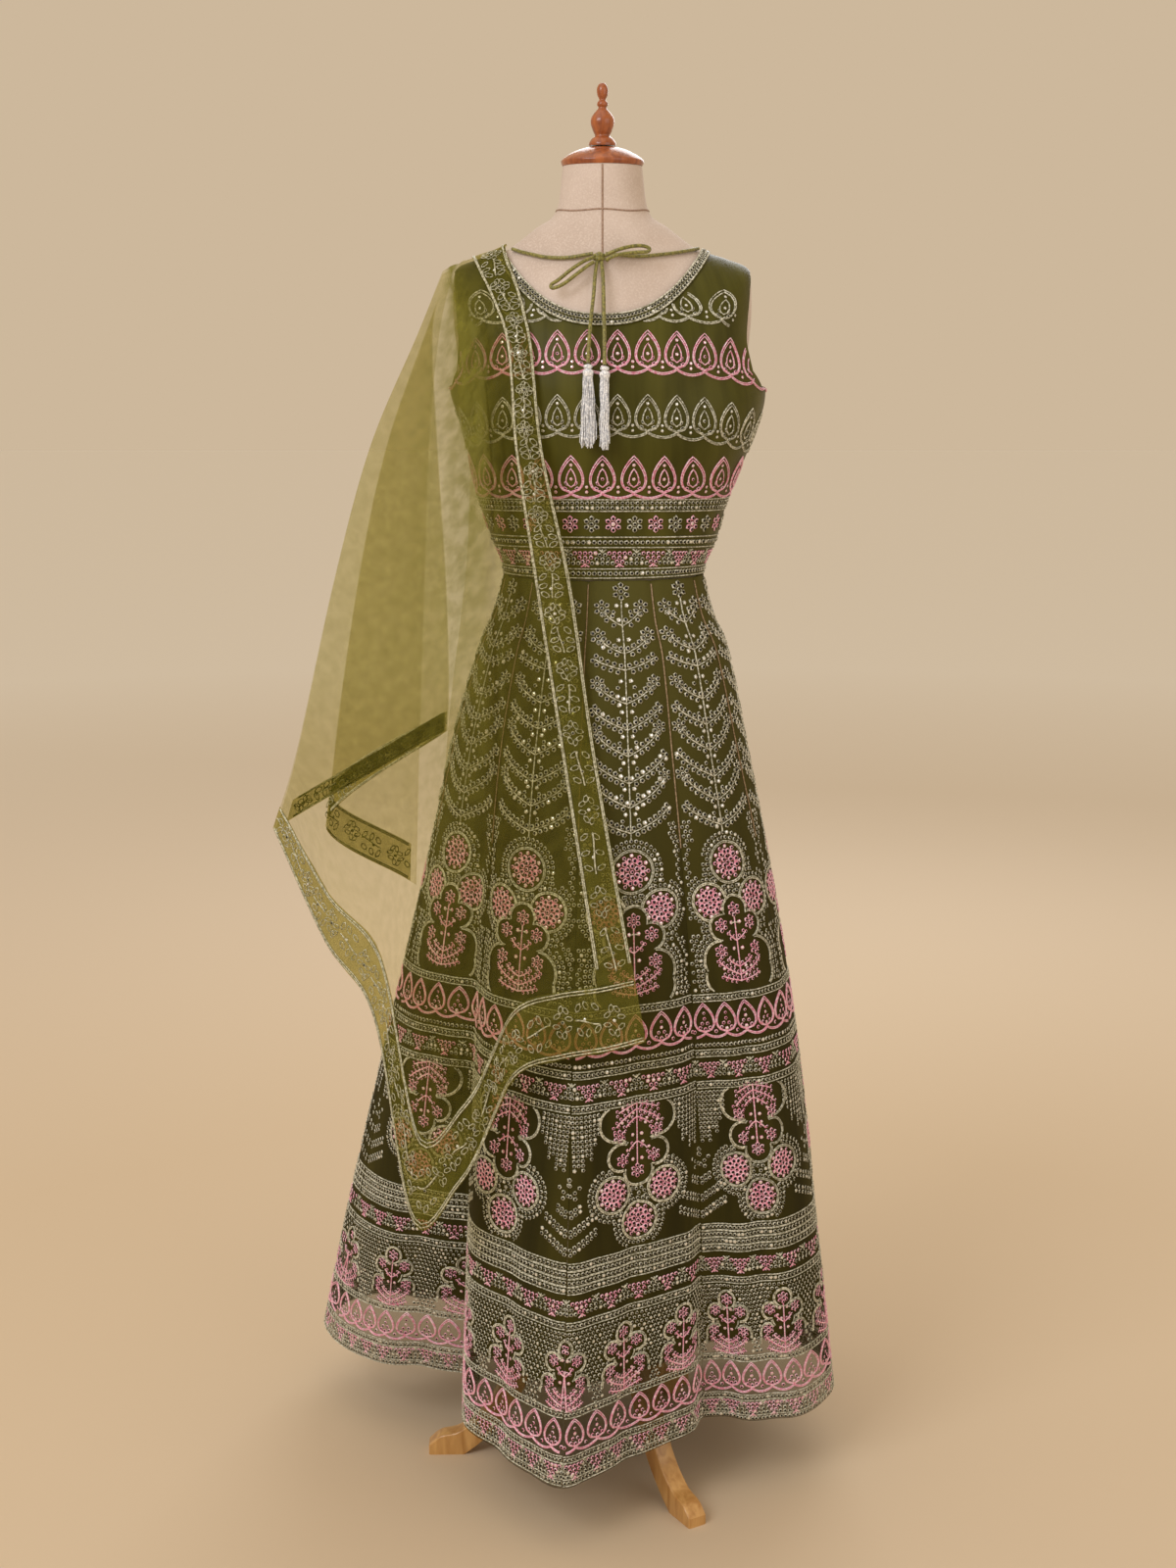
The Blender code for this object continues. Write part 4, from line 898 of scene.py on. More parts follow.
def arch(chart, x, base, width, height, tone, filled=False):
    for scale in (1.0, 0.89):
        addLine(chart, dropShape(x, base - (1 - scale) * height * 0.25, width * scale, height * scale), tone)
    if filled:
        for px, py, size in ((-0.24, 0.17, 2.4), (0, 0.12, 2.6), (0.24, 0.17, 2.4), (-0.13, 0.31, 2.4),
                             (0.13, 0.31, 2.4), (0, 0.47, 2.3), (0, 0.66, 2.0)):
            addLoop(chart, x + px * width, base - py * height, tone, size, px == 0 and py < 0.5 and
                    chance.random() < 0.5)
        return
    addLine(chart, dropShape(x, base - height * 0.16, width * 0.38, height * 0.50, count=6), tone)
    for side in (-1, 1):
        for lean, far, size in ((0.62, 0.27, 1.9), (1.12, 0.22, 1.7)):
            addLoop(chart, x + side * far * width * math.sin(lean) * 1.2, base - far * height *
                    math.cos(lean) - 1.5, tone, size, 0, 1.8, side * (math.pi / 2 - lean), 0)
        addLoop(chart, x + side * width * 0.10, base - 1.8, tone, 1.9, 0)
    addLoop(chart, x, base - height * 0.76, tone, 2.2, 1)
    addLoop(chart, x, base - height * 0.38, tone, 2.2, chance.random() < 0.5)


# Teardrop arches over a scalloped garland, with paired discs between them
def archRow(chart, x0, x1, base, pitch, width, height, tone, filled=False):
    count = max(int(round((x1 - x0) / pitch)), 1)
    step = (x1 - x0) / count
    for i in range(count):
        x = x0 + step * (i + 0.5)
        arch(chart, x, base, width, height, tone, filled)
        for near in (0, 1):
            at = x0 + step * (i + near)
            if near == 0 and i > 0:
                continue
            if filled:
                addLoop(chart, at, base - 1.0, tone, 2.6, 0)
            else:
                addLoop(chart, at, base - 6.6, tone, 2.1, 1)
                addLoop(chart, at, base - 1.0, tone, 2.1, 1)
    for i in range(-1, count):
        x = x0 + step * (i + 0.5)
        swag = [(x + step * t, base + 5.0 * math.sin(math.pi * t) ** 0.8) for t in np.linspace(0, 1, 10)]
        for shift in (0, 1.6):
            addLine(chart, [(px, py + shift) for px, py in swag if x0 - 1 < px < x1 + 1], tone)


def lotus(chart, x, y, tone, sign=1):
    rows = ((-6.0, (-11.5, -5.8, 0, 5.8, 11.5)), (-0.9, (-6.5, 0, 6.5)), (4.0, (-3.0, 3.0)))
    for py, places in rows:
        for px in places:
            addLoop(chart, x + px, y + sign * py, tone, 2.75)
    for side in (-1, 0, 1):
        stem = ((0, 6.5), (2.2, 9), (4.6, 10.4))
        addLine(chart, [(x + side * px, y + sign * py) for px, py in stem], tone)


def lotusRow(chart, x0, x1, y, pitch=38):
    count = max(int(round((x1 - x0) / pitch)), 1)
    step = (x1 - x0) / count
    for i in range(count + 1):
        if i < count:
            lotus(chart, x0 + step * (i + 0.5), y, pink)
        lotus(chart, x0 + step * i, y, sage, -1)


def apart(x, y, circles):
    return np.min([np.hypot(x - cx, y - cy) - r for cx, cy, r in circles], 0)


def fillLoops(chart, x0, x1, y0, y1, keep, tone, pitch=6.0, size=2.6):
    rows = int((y1 - y0) / (pitch * 0.87))
    for i in range(rows):
        y = y0 + (y1 - y0) * (i + 0.5) / rows
        xs = np.arange(x0 + (pitch / 2 if i % 2 else 0), x1, pitch)
        for x in xs[keep(xs, np.full_like(xs, y))]:
            addLoop(chart, x, y, tone, size)


# Loops in rings round a union of circles: each ring keeps its own distance from it
def ringLoops(chart, circles, keep, tone, rings=(5.6, 11.2), pitch=5.9, size=2.65):
    for away in rings:
        for cx, cy, r in circles:
            count = int(2 * math.pi * (r + away) / pitch)
            turns = np.arange(count) * 2 * math.pi / count
            x, y = cx + (r + away) * np.cos(turns), cy + (r + away) * np.sin(turns)
            rest = [c for c in circles if c != (cx, cy, r)]
            free = keep(x, y)
            if rest:
                free = free & (apart(x, y, rest) > away - 0.4)
            for px, py in zip(x[free], y[free]):
                addLoop(chart, px, py, tone, size)


# A cord round a union of circles, left out where it would run inside another one
def outline(chart, circles, others, tone, low=-1e9, high=1e9):
    for cx, cy, r in circles:
        for grow in (0.0, 1.7):
            turns = np.linspace(0, 2 * math.pi, max(int(r * 1.6), 14))
            x, y = cx + (r + grow) * np.cos(turns), cy + (r + grow) * np.sin(turns)
            rest = [c for c in [*circles, *others] if c != (cx, cy, r)]
            free = (y > low) & (y < high)
            if rest:
                free &= apart(x, y, rest) > grow - 0.8
            for run in stretchesOf([*zip(x, y)], free):
                addLine(chart, run, tone)


def mirrored(circles):
    return [(s * x, y, r) for x, y, r in circles for s in ((1, -1) if x else (1,))]


# The chart of one kali: tree, trefoil with wheels, borders, hanging trefoil, ground with plants
def kaliChart(halfAt, odd):
    chart = newChart()

    # a border from seam to seam, as wide as the panel is at a height
    def fullWidth(place, at, *rest, **settings):
        half = halfAt(at) - 1
        place(chart, -half, half, *rest, **settings)

    star(chart, 0, 12, sage, 10.5)
    addLine(chart, [(0, y) for y in np.linspace(20, 284, 44)], sage)
    tiers = ((49, 20, 16, 1, 27), (79, 26, 16, 1, 64), (97, 36, 15, 0, 0), (134, 30, 20, 1, 109),
             (163, 40, 27, 0, 143), (192, 35, 27, 1, 170), (222, 45, 33, 0, 199), (249, 40, 30, 1, 228),
             (277, 47, 28, 0, 256))
    for i, (y, reach, rise, ended, pair) in enumerate(tiers):
        limit = halfAt(y - rise) - 5
        reach = min(reach, limit - (7 if ended else 0))
        branch(chart, 0, y, reach, rise, sage)
        for side in (-1, 1):
            if ended:
                star(chart, side * (reach + 2), y - rise - 3, sage, 9.8 if i < 2 else 9.0)
            if pair:
                addLoop(chart, side * 5.8, pair, sage, 3.0, 1)
                addLoop(chart, side * 9.5, pair + 7, sage, 2.8, 0)
    # upper trefoil: three wheels round an arched plant
    wheels = mirrored([(0, 320, 23), (32, 364, 21)])
    trefoil = mirrored([(0, 375, 16), (20, 394, 15), (0, 412, 22), (24, 434, 24), (0, 450, 26),
                        (28, 452, 20)])
    for x, y, r in wheels:
        wheel(chart, x, y, r - 1, pink)
    sprig(chart, 0, 375, pink, 1, 0.98)
    outline(chart, trefoil, [], sage, -1e9, 468)
    outline(chart, wheels, trefoil, sage)
    ground = wheels + trefoil
    gaps = mirrored([(halfAt(310) - 19, 300, 5), (halfAt(310) - 18, 312, 7), (halfAt(310) - 17, 326, 6),
                     (halfAt(400) - 9, 392, 5)])

    def besideUpper(x, y):
        inside = (apart(x, y, ground) > 3.6) & (apart(x, y, gaps) > 2.5)
        return inside & (np.abs(x) < np.interp(y, (260, 470), (halfAt(260), halfAt(470))) - 3) & (y < 468)

    def seamSide(x, y):
        away = apart(x, y, ground)
        return besideUpper(x, y) & ((y > 352) | (np.abs(x) > halfAt(y.mean()) - 15)) & (away > 15.5)

    ringLoops(chart, ground, besideUpper, sage)
    fillLoops(chart, -80, 80, 268, 468, seamSide, sage)
    for y in (475, 541, 579):
        fullWidth(row, y, y, sage)
    fullWidth(archRow, 505, 516, 30, 27, 35, pink, True)
    fullWidth(row, 531, 531, sage, lines=False)
    fullWidth(lotusRow, 560, 560)
    # lower trefoil hangs from the border
    hanging = mirrored([(26, 602, 20), (0, 604, 26), (22, 642, 15), (0, 642, 20), (0, 661, 17)])
    discs = mirrored([(33, 684, 20), (0, 721, 21)])
    for x, y, r in discs:
        wheel(chart, x, y, r - 0.5, pink)
    sprig(chart, 0, 662, pink, -1, 0.93)
    outline(chart, hanging, [], sage, 584)
    outline(chart, discs, hanging, sage)
    both = hanging + discs

    def aroundLower(x, y):
        return (apart(x, y, both) > 3.4) & (y > 652) & (y < 749) & (np.abs(x) < halfAt(700) - 2)

    ringLoops(chart, both, aroundLower, sage, (5.4, 10.8))
    for side in (-1, 1):
        for i in range(7):
            for k in range((12, 11, 12, 9, 10, 7, 5)[i]):
                addLoop(chart, side * (halfAt(600) - 3 - 5.4 * i), 588 + 5.4 * k, sage, 2.6)
        for dx, y in ((3, 658), (3, 664), (9, 672), (3, 676), (15, 667), (9, 679)):
            addLoop(chart, side * (halfAt(690) - dx), y, sage, 2.8)
        for start, reach in ((694, 22), (716, 34), (737, 44)):
            for i in range(int(reach / 5.6)):
                for k in (0, 1):
                    addLoop(chart, side * (halfAt(start) - 3.5 - 5.6 * i), start - i * 3.0 + 5.8 * k,
                            sage, 2.8)
    for y in (757, 766, 775, 784):
        fullWidth(row, y, y, sage)
    fullWidth(lotusRow, 806, 805, 37)
    fullWidth(row, 826, 825, sage)
    # dense ground with a plant in each arched opening, five to every two panels
    step = 2 * halfAt(880) / 2.5
    plants = [(-halfAt(880) + step * (i + (0.0 if odd else 0.5))) for i in range(3)]
    openings = [(p + dx, y, r) for p in plants for dx, y, r in
                ((0, 852, 11), (-18, 868, 10), (18, 868, 10), (0, 878, 15), (-21, 896, 11),
                 (21, 896, 11), (0, 905, 18), (-20, 908, 13), (20, 908, 13))]
    for p in plants:
        sprig(chart, p, 852, pink, 1, 0.84)
    outline(chart, openings, [], sage, -1e9, 912)

    def dense(x, y):
        between = np.min([np.abs(x - p) for p in plants] + [np.abs(x - p - step) for p in plants[-1:]]
                         + [np.abs(x - p + step) for p in plants[:1]], 0)
        return (apart(x, y, openings) > 3.4) & (y < 905 + (between - 20) * 1.0)

    fillLoops(chart, -130, 130, 831, 926, dense, sage, 5.8, 2.45)
    for y in (928, 981, 1008):
        fullWidth(row, y, y, sage, 5.2, 2.6)
    fullWidth(archRow, 955, 967, 30, 26, 34, pink, True)
    fullWidth(lotusRow, 995, 995, 32)
    return chart


# Dress form and stand
def smoothLine(points, count):
    points = np.array(points, float)
    return readRows(points, np.linspace(0, len(points) - 1, count))


def makeForm():
    sides = 84
    rows = np.concatenate([np.linspace(0, 3, 25), np.linspace(3.2, 15, 48)])
    angle, level = gridOf(np.linspace(0, 360, sides, endpoint=False), rows)
    body = ringSkin("form_torso_linen", torsoPoint(level, angle).reshape(len(rows), sides, 3), linen)
    settle(body, "linen_cover", "form_torso")
    lines = []
    for turn in (90.0, 270.0):
        steps = np.linspace(0.02, 14.9, 110)
        lines.append(torsoPoint(steps, np.full_like(steps, turn)))
    turns = np.linspace(0, 360, 73)
    lines.append(torsoPoint(np.full_like(turns, 1.0) + 0.02 * np.sin(np.radians(5 * turns)), turns))
    parts = [layThread([line.tolist()], 0.0011, 6, linenSeam) for line in lines]
    joinMeshes("form_seams", parts, "linen_cover")
    top = 1.5820
    cap = [(0.0005, top), (0.012, top - 0.0006), (0.026, top - 0.0040), (0.038, top - 0.0095),
           (0.0455, top - 0.0150), (0.0465, top - 0.0180), (0.0450, 1.5603)]
    cap = smoothLine(cap, 30)
    settle(turnedPiece("neck_cap_wood", cap, 60, redWood), "varnished_wood", "neck_cap")
    high, foot = 1.650, 1.5823
    finial = [(0.0004, high), (0.0035, high - 0.001), (0.0062, high - 0.006), (0.0058, high - 0.013),
              (0.0036, high - 0.018), (0.0058, high - 0.021), (0.0060, high - 0.024),
              (0.0046, high - 0.027), (0.0090, high - 0.032), (0.0128, high - 0.038),
              (0.0132, high - 0.044), (0.0105, high - 0.052), (0.0085, high - 0.057),
              (0.0120, high - 0.060), (0.0150, foot + 0.003), (0.0152, foot)]
    settle(turnedPiece("finial_wood", smoothLine(finial, 72), 44, redWood), "varnished_wood", "finial")
    pole = [(0.0160, 0.8397), (0.0160, 0.55), (0.0160, 0.2623)]
    settle(turnedPiece("pole_wood", smoothLine(pole, 12), 40, honeyWood), "honey_wood", "pole")
    hub = [(0.022, 0.262), (0.030, 0.254), (0.034, 0.246), (0.034, 0.200), (0.034, 0.160),
           (0.028, 0.154), (0.020, 0.150)]
    settle(turnedPiece("hub_wood", smoothLine(hub, 30), 48, honeyWood), "honey_wood", "hub")


# Each leg is sawn to a curve and its upper edges are rounded
legShape = {"angles": (181.0, 301.0, 61.0), "thickness": 0.024, "edge": 0.004}


def makeLegs():
    start = 0.0343
    upper = smoothLine([(start, 0.250), (0.056, 0.236), (0.082, 0.200), (0.103, 0.150), (0.124, 0.100),
                        (0.148, 0.058), (0.178, 0.031), (0.203, 0.024), (0.2176, 0.012)], 44)
    under = smoothLine([(0.172, 0.0), (0.150, 0.018), (0.122, 0.048), (0.098, 0.088), (0.076, 0.134),
                        (0.056, 0.164), (start, 0.176)], 34)
    side = np.concatenate([upper, [(0.2176, 0.0)], under])
    for number, angle in enumerate(legShape["angles"], start=1):
        turn = math.radians(angle)
        mesh = bpy.data.meshes.new(f"leg_{number}_wood")
        shape = bmesh.new()
        half = legShape["thickness"] / 2
        face = shape.faces.new([shape.verts.new((r, half, z)) for r, z in side])
        pulled = bmesh.ops.extrude_face_region(shape, geom=[face])["geom"]
        bmesh.ops.translate(shape, vec=(0, -2 * half, 0),
                            verts=[item for item in pulled if isinstance(item, bmesh.types.BMVert)])
        bmesh.ops.recalc_face_normals(shape, faces=shape.faces)
        rims = [e for e in shape.edges if abs(e.verts[0].co.y - e.verts[1].co.y) < 1e-6
                and max(v.co.z for v in e.verts) > 0.001]
        bmesh.ops.bevel(shape, geom=rims, offset=legShape["edge"], segments=3, profile=0.6,
                        affect="EDGES", clamp_overlap=True)
        bmesh.ops.rotate(shape, verts=shape.verts, cent=(0, 0, 0), matrix=Matrix.Rotation(turn, 3, "Z"))
        bmesh.ops.translate(shape, verts=shape.verts, vec=stand)
        shape.to_mesh(mesh)
        shape.free()
        mesh.shade_smooth()
        mesh.set_sharp_from_angle(angle=math.radians(35))
        settle(linkMesh(mesh.name, mesh, [honeyWood]), "honey_wood", f"leg_{number}")


# Dress
def bodiceAngle(row, across, first):
    seam = 0.10
    edge = np.where(row <= armpitRow, np.maximum(np.interp(row, armholeRows, armholeAngles), seam), seam)
    return first + edge + across * (180.0 - 2 * edge)


def rowAtHeight(z, angle):
    low, high = np.full_like(z, neckRow), np.full_like(z, waistRow)
    rise = np.abs(np.cos(np.radians(angle))) ** 2.5
    for _ in range(14):
        middle = (low + high) / 2
        zMid, zSide = readRows(torso, middle)[:, 3:5].T
        below = zMid + (zSide - zMid) * rise < z
        high, low = np.where(below, middle, high), np.where(below, low, middle)
    return (low + high) / 2


chartTop = 1.4


# Chart places on the bodice: x along the body from its centre, y down from the chart's top.
# Columns of the chart hang plumb where the cloth faces back or front, and follow the side seam
def bodiceSurface(centre, plumbRow, droop, plumbness=1.0):
    angles = np.arange(-92.0, 92.5, 1.0)
    middle = bodicePoint(np.full_like(angles, plumbRow), centre + angles)
    arc = np.concatenate([[0], np.cumsum(np.linalg.norm(np.diff(middle, axis=0), axis=1))])
    arc = (arc - np.interp(0, angles, arc)) * 1000
    facing = 1.0 if centre < 180 else -1.0

    def find(x, y):
        plain = centre + np.interp(x, arc, angles)
        reach = np.interp(x, arc, middle[:, 0])
        angle = plain
        for _ in range(5):
            z = chartTop - y / 1000 - droop * np.abs(np.cos(np.radians(angle))) ** 4
            across = np.cos(np.radians(angle))
            aside = np.where(np.abs(across) > 0.02, across, np.nan)
            width = bodicePoint(rowAtHeight(z, angle), angle)[:, 0] / aside
            ratio = np.clip(np.nan_to_num(reach / width), -1, 1)
            plumb = centre - facing * (90 - np.degrees(np.arccos(ratio)))
            weight = plumbness * np.clip((0.92 - np.abs(ratio)) / 0.3, 0, 1)
            wanted = np.where(np.abs(across) > 0.02, plain + weight * (plumb - plain), plain)
            angle = angle + 0.7 * (wanted - angle)
        z = chartTop - y / 1000 - droop * np.abs(np.cos(np.radians(angle))) ** 4
        return rowAtHeight(z, angle), angle

    def surface(x, y):
        return bodicePoint(*find(x, y))

    def allowed(x, y):
        place, angle = find(x, y)
        side = 90 - np.abs(angle - centre)
        hole = np.interp(place, armholeRows, armholeAngles) + 1.6
        hole = np.where(place < armpitRow + 0.05, hole, 0.6)
        return (side > hole) & (place > neckRow + 0.36)

    return surface, allowed, float(arc[-3])


# The part of a chart that may be laid
def trimChart(chart, allowed):
    kept = newChart()
    if chart["loops"]:
        marks = np.array(chart["loops"])
        ok = allowed(marks[:, 0], marks[:, 1])
        kept["loops"] = [mark for mark, fine in zip(chart["loops"], ok) if fine]
    for line, tone in chart["lines"]:
        points = np.array(line, float)
        free = allowed(points[:, 0], points[:, 1])
        kept["lines"] += [(run, tone) for run in stretchesOf(line, free)]
    return kept


# Seam gap and trim depth in rows of the torso table, and the trim's wall and its lift off the bodice
bodiceShape = {"seamRows": 0.0035, "trimRows": 0.31, "trimWall": 0.0010, "trimLift": 0.0008}


def makeBodice():
    bodiceRows = np.linspace(neckRow + 0.01, bandRow - bodiceShape["seamRows"], 76)
    bodiceRows = np.unique(np.concatenate([bodiceRows, np.array(armholeRows)]))
    bandRows = np.linspace(bandRow + bodiceShape["seamRows"], waistRow, 22)
    trimRows = np.linspace(neckRow + 0.01, neckRow + bodiceShape["trimRows"], 5)
    trimWall, trimLift = bodiceShape["trimWall"], bodiceWall / 2 + bodiceShape["trimLift"]
    for side, first in (("front", 0.0), ("back", 180.0)):
        for name, rows, columns, lift, wall, slotName, under in (
                ("bodice", bodiceRows, 61, 0.0, bodiceWall, "olive_satin", "form_torso_linen"),
                ("waist_band", bandRows, 61, 0.0, bodiceWall, "olive_satin", "form_torso_linen"),
                ("neck_trim", trimRows, 81, trimLift, trimWall, "neck_lace", f"bodice_{side}_cloth")):
            a, r = gridOf(np.linspace(0, 1, columns), rows)
            grid = bodicePoint(r, bodiceAngle(r, a, first), lift).reshape(len(rows), columns, 3)
            piece, sizes = clothShell(f"{name}_{side}_cloth", grid, wall, satin)
            settle(piece, slotName, f"{name}_{side}")
            declareSheet(piece, sizes)


# Millimetres down the bodice chart: each row's base, the arches' height and their thread
bodiceRowsAt = {"archPitch": 33, "arches": ((62, 40, pink), (129, 39, sage)), "shoulder": 6,
                "widen": 0.0052, "starPitch": 23, "neckMmPerDegree": 1.86}


def embroiderBodice():
    pitch = bodiceRowsAt["archPitch"]
    for side, centre in (("front", 90.0), ("back", 270.0)):
        surface, allowed, edge = bodiceSurface(centre, 9.0, 0.016)
        chart = newChart()
        width = int(2 * edge / pitch) * pitch / 2
        for y, height, tone in bodiceRowsAt["arches"]:
            archRow(chart, -width, width, y, pitch, 28, height, tone)
        stitchChart(f"bodice_{side}_arches", trimChart(chart, allowed), surface, bodiceWall / 2, 1,
                    threads, "olive_satin")
        surface, allowed, _ = bodiceSurface(centre, 4.6, 0.010, 0.0)
        chart = newChart()
        base, widen = bodiceRowsAt["shoulder"], bodiceRowsAt["widen"]
        archRow(chart, -5 * pitch, 5 * pitch, base, pitch, 27, 33, sage)
        # the rows shorten towards the neck, so the chart widens there and its arches stand upright
        chart["loops"] = [(x * (1 + widen * (base - y)), y, *rest) for x, y, *rest in chart["loops"]]
        chart["lines"] = [([(x * (1 + widen * (base - y)), y) for x, y in line], tone)
                          for line, tone in chart["lines"]]
        stitchChart(f"shoulder_{side}_arches", trimChart(chart, allowed), surface, bodiceWall / 2, 1,
                    threads, "olive_satin")
        surface, allowed, edge = bodiceSurface(centre, 10.2, 0.0)
        chart = newChart()
        width = edge - 1
        archRow(chart, -width, width, 196, 2 * width / int(2 * edge / pitch), 28, 41, pink)
        for y in (207.5, 213):
            row(chart, -edge, edge, y, sage, 5.6, 2.7, lines=False)
        for y in (203.7, 216.8, 246.3, 257.5, 283, 294):
            addLine(chart, [(x, y) for x in np.linspace(-edge, edge, 50)], sage)
        for y in (252, 288.5):
            row(chart, -edge, edge, y, sage, 6.0, 3.0, lines=False)
        stars = int(2 * edge / bodiceRowsAt["starPitch"])
        for i in range(stars):
            x = -edge + 2 * edge * (i + 0.5) / stars
            star(chart, x, 231.5, pink if i % 2 == 0 else sage, 9.8, i % 4 == 0)
        lotusRow(chart, -edge, edge, 270, 40)
        stitchChart(f"waist_{side}_embroidery", trimChart(chart, allowed), surface, bodiceWall / 2, 1,
                    threads, "olive_satin")

        # the neck trim: two chains of loops between cords, laid along the neckline
        def neckline(x, y, centre=centre):
            angle = centre + x / bodiceRowsAt["neckMmPerDegree"]
            return bodicePoint(neckRow + 0.01 + y / 100, angle)

        chart = newChart()
        limit = 89.0 * bodiceRowsAt["neckMmPerDegree"]
        for y in (9, 22):
            row(chart, -limit, limit, y, sage, 3.6, 2.6, lines=False)
        for y in (2, 29):
            addLine(chart, [(x, y) for x in np.linspace(-limit, limit, 120)], sage)
        stitchChart(f"neck_{side}_lace", chart, neckline, bodiceWall / 2 + 0.0013, 1, threads, "neck_lace")


def panelSurface(panel):
    downs = np.linspace(0, 1, 60)
    across = np.linspace(0, 1, 13)
    a, d = gridOf(across, downs)
    grid = skirtPoint(panel + a, d).reshape(60, 13, 3)
    widths = np.linalg.norm(np.diff(grid, axis=1), axis=2).sum(1) * 1000
    heights = (grid[0, 6, 2] - grid[:, 6, 2]) * 1000

    def surface(x, y):
        down = np.interp(y, heights, downs)
        width = np.interp(y, heights, widths)
        return skirtPoint(panel + 0.5 + x / width, down)

    def halfAt(y):
        return float(np.interp(y, heights, widths)) / 2

    def allowed(x, y):
        return (np.abs(x) < np.interp(y, heights, widths) / 2 + 0.5) & (y < heights[-1] - 1)

    return surface, halfAt, allowed


def makeSkirt():
    down = np.linspace(0, 1, 70)
    for panel in range(skirtShape["panels"]):
        across = np.linspace(0, 1, 25)
        middle = skirtPoint(np.full(len(down), panel + 0.5), down)
        width = np.linalg.norm(skirtPoint(np.full(len(down), panel + 1.0), down) - middle, axis=1) * 2
        gap = skirtShape["seamGap"] / width
        a = panel + gap[:, None] + across[None] * (1 - 2 * gap[:, None])
        d = np.repeat(down[:, None], len(across), 1)
        grid = skirtPoint(a.ravel(), d.ravel()).reshape(len(down), len(across), 3)
        name = f"skirt_panel_{panel + 1:02d}"
        piece, sizes = clothShell(f"{name}_cloth", grid, skirtWall, skirtCloth)
        settle(piece, "olive_net_over_lining", name)
        declareSheet(piece, sizes)
        surface, halfAt, allowed = panelSurface(panel)
        chart = kaliChart(halfAt, panel % 2)
        addLine(chart, [(halfAt(y), y) for y in np.linspace(4, 300, 60)], seamTone)
        stitchChart(f"{name}_embroidery", trimChart(chart, allowed), surface, skirtWall / 2, 1,
                    threads, "olive_net_over_lining")


# Stole
# Width of the border, its wall and its lift off the net, the net's ripple, and the room it keeps from
# the dress
borderWidth = 0.042
stoleShape = {"borderWall": 0.0010, "borderLift": 0.0013, "stitchLift": 0.0018, "ripple": 0.0014,
              "clear": 0.0027}


def foldLengths(lines):
    return np.linalg.norm(np.diff(lines, axis=1), axis=2).sum(1)


def stoleGrid(lines, across, rows, side, lift=0.0):
    a, r = gridOf(across, rows)
    length = np.interp(a, np.arange(len(lines)), foldLengths(lines))
    start = 1 - borderWidth / length
    down = np.where(r <= 1, r * start, start + (r - 1) * (1 - start))
    points = stolePoint(lines, a, down)
    points[:, 1] = np.where(r == 0, side * 0.0003, points[:, 1])
    last = len(lines) - 1
    along = (stolePoint(lines, a, np.minimum(down + 0.01, 1))
             - stolePoint(lines, a, np.maximum(down - 0.01, 0)))
    around = stolePoint(lines, np.minimum(a + 0.05, last), down) - stolePoint(
        lines, np.maximum(a - 0.05, 0), down)
    normal = unit(np.cross(around, along)) * -side
    ripple = stoleShape["ripple"] * np.sin(a * 9.0 + 6 * down) * np.sin(3.1 * a + 1.0)
    ripple = ripple * np.clip(down * 2, 0, 1)
    points = points + normal * (lift + ripple)[:, None]
    return keepClear(points, stoleShape["clear"] + lift).reshape(len(rows), len(across), 3)


stretches = (("stole_back", stoleBack, -1.0), ("stole_side", stoleSide, -1.0),
             ("stole_front", stoleFront, 1.0))
# How many layers thick the net reads at each fold, where it falls in pleats too fine to model.
# The counts are chosen one by one
pleatLayers = {"stole_back": (1, 1, 1, 1.5, 3, 6, 8, 3.6, 1.2, 1), "stole_side": (1, 1, 1, 1),
               "stole_front": (1, 1, 1, 1, 1)}


# The pleats open out towards the hem
def layersAt(name, across, rows):
    a, r = gridOf(across, rows)
    table = pleatLayers[name]
    return 1 + (np.interp(a, np.arange(len(table)), table) - 1) * np.clip(1.5 - 1.6 * r, 0, 1)


def makeStole():
    upper = np.linspace(0, 0.2, 20)[:-1]
    netRows = np.concatenate([upper, np.linspace(0.2, 1.0, 50), [1.33, 1.66, 2.0]])
    edgeRows = np.concatenate([upper, np.linspace(0.2, 0.9997, 40)])
    endRows = np.linspace(1.0, 2.0, 5)
    for name, lines, side in stretches:
        last = len(lines) - 1
        whole = np.linspace(0, last, last * 7 + 1)
        # each shell: its name, the CAD node it stands for, where it lies across the folds and down
        if name == "stole_side":
            borders = [(f"end_{i + 1}", f"end_border_{i + 1}", np.linspace(i + 0.06, i + 0.94, 12), endRows)
                       for i in range(last)]
        else:
            borders = [("end", "end_border", whole, endRows),
                       ("edge", "side_border", np.linspace(0, 1, 7), edgeRows)]
        grid = stoleGrid(lines, whole, netRows, side)
        piece, sizes = clothShell(f"{name}_net", grid, stoleWall, sheerNet, side < 0,
                                  layersAt(name, whole, netRows))
        settle(piece, "sheer_olive_net", name)
        declareSheet(piece, sizes)
        for ending, node, across, rows in borders:
            grid = stoleGrid(lines, across, rows, side, stoleShape["borderLift"])
            piece, sizes = clothShell(f"{name}_{ending}", grid, stoleShape["borderWall"], borderNet,
                                      side < 0, layersAt(name, across, rows))
            settle(piece, "stole_border", f"{name}_{node}")
            declareSheet(piece, sizes)


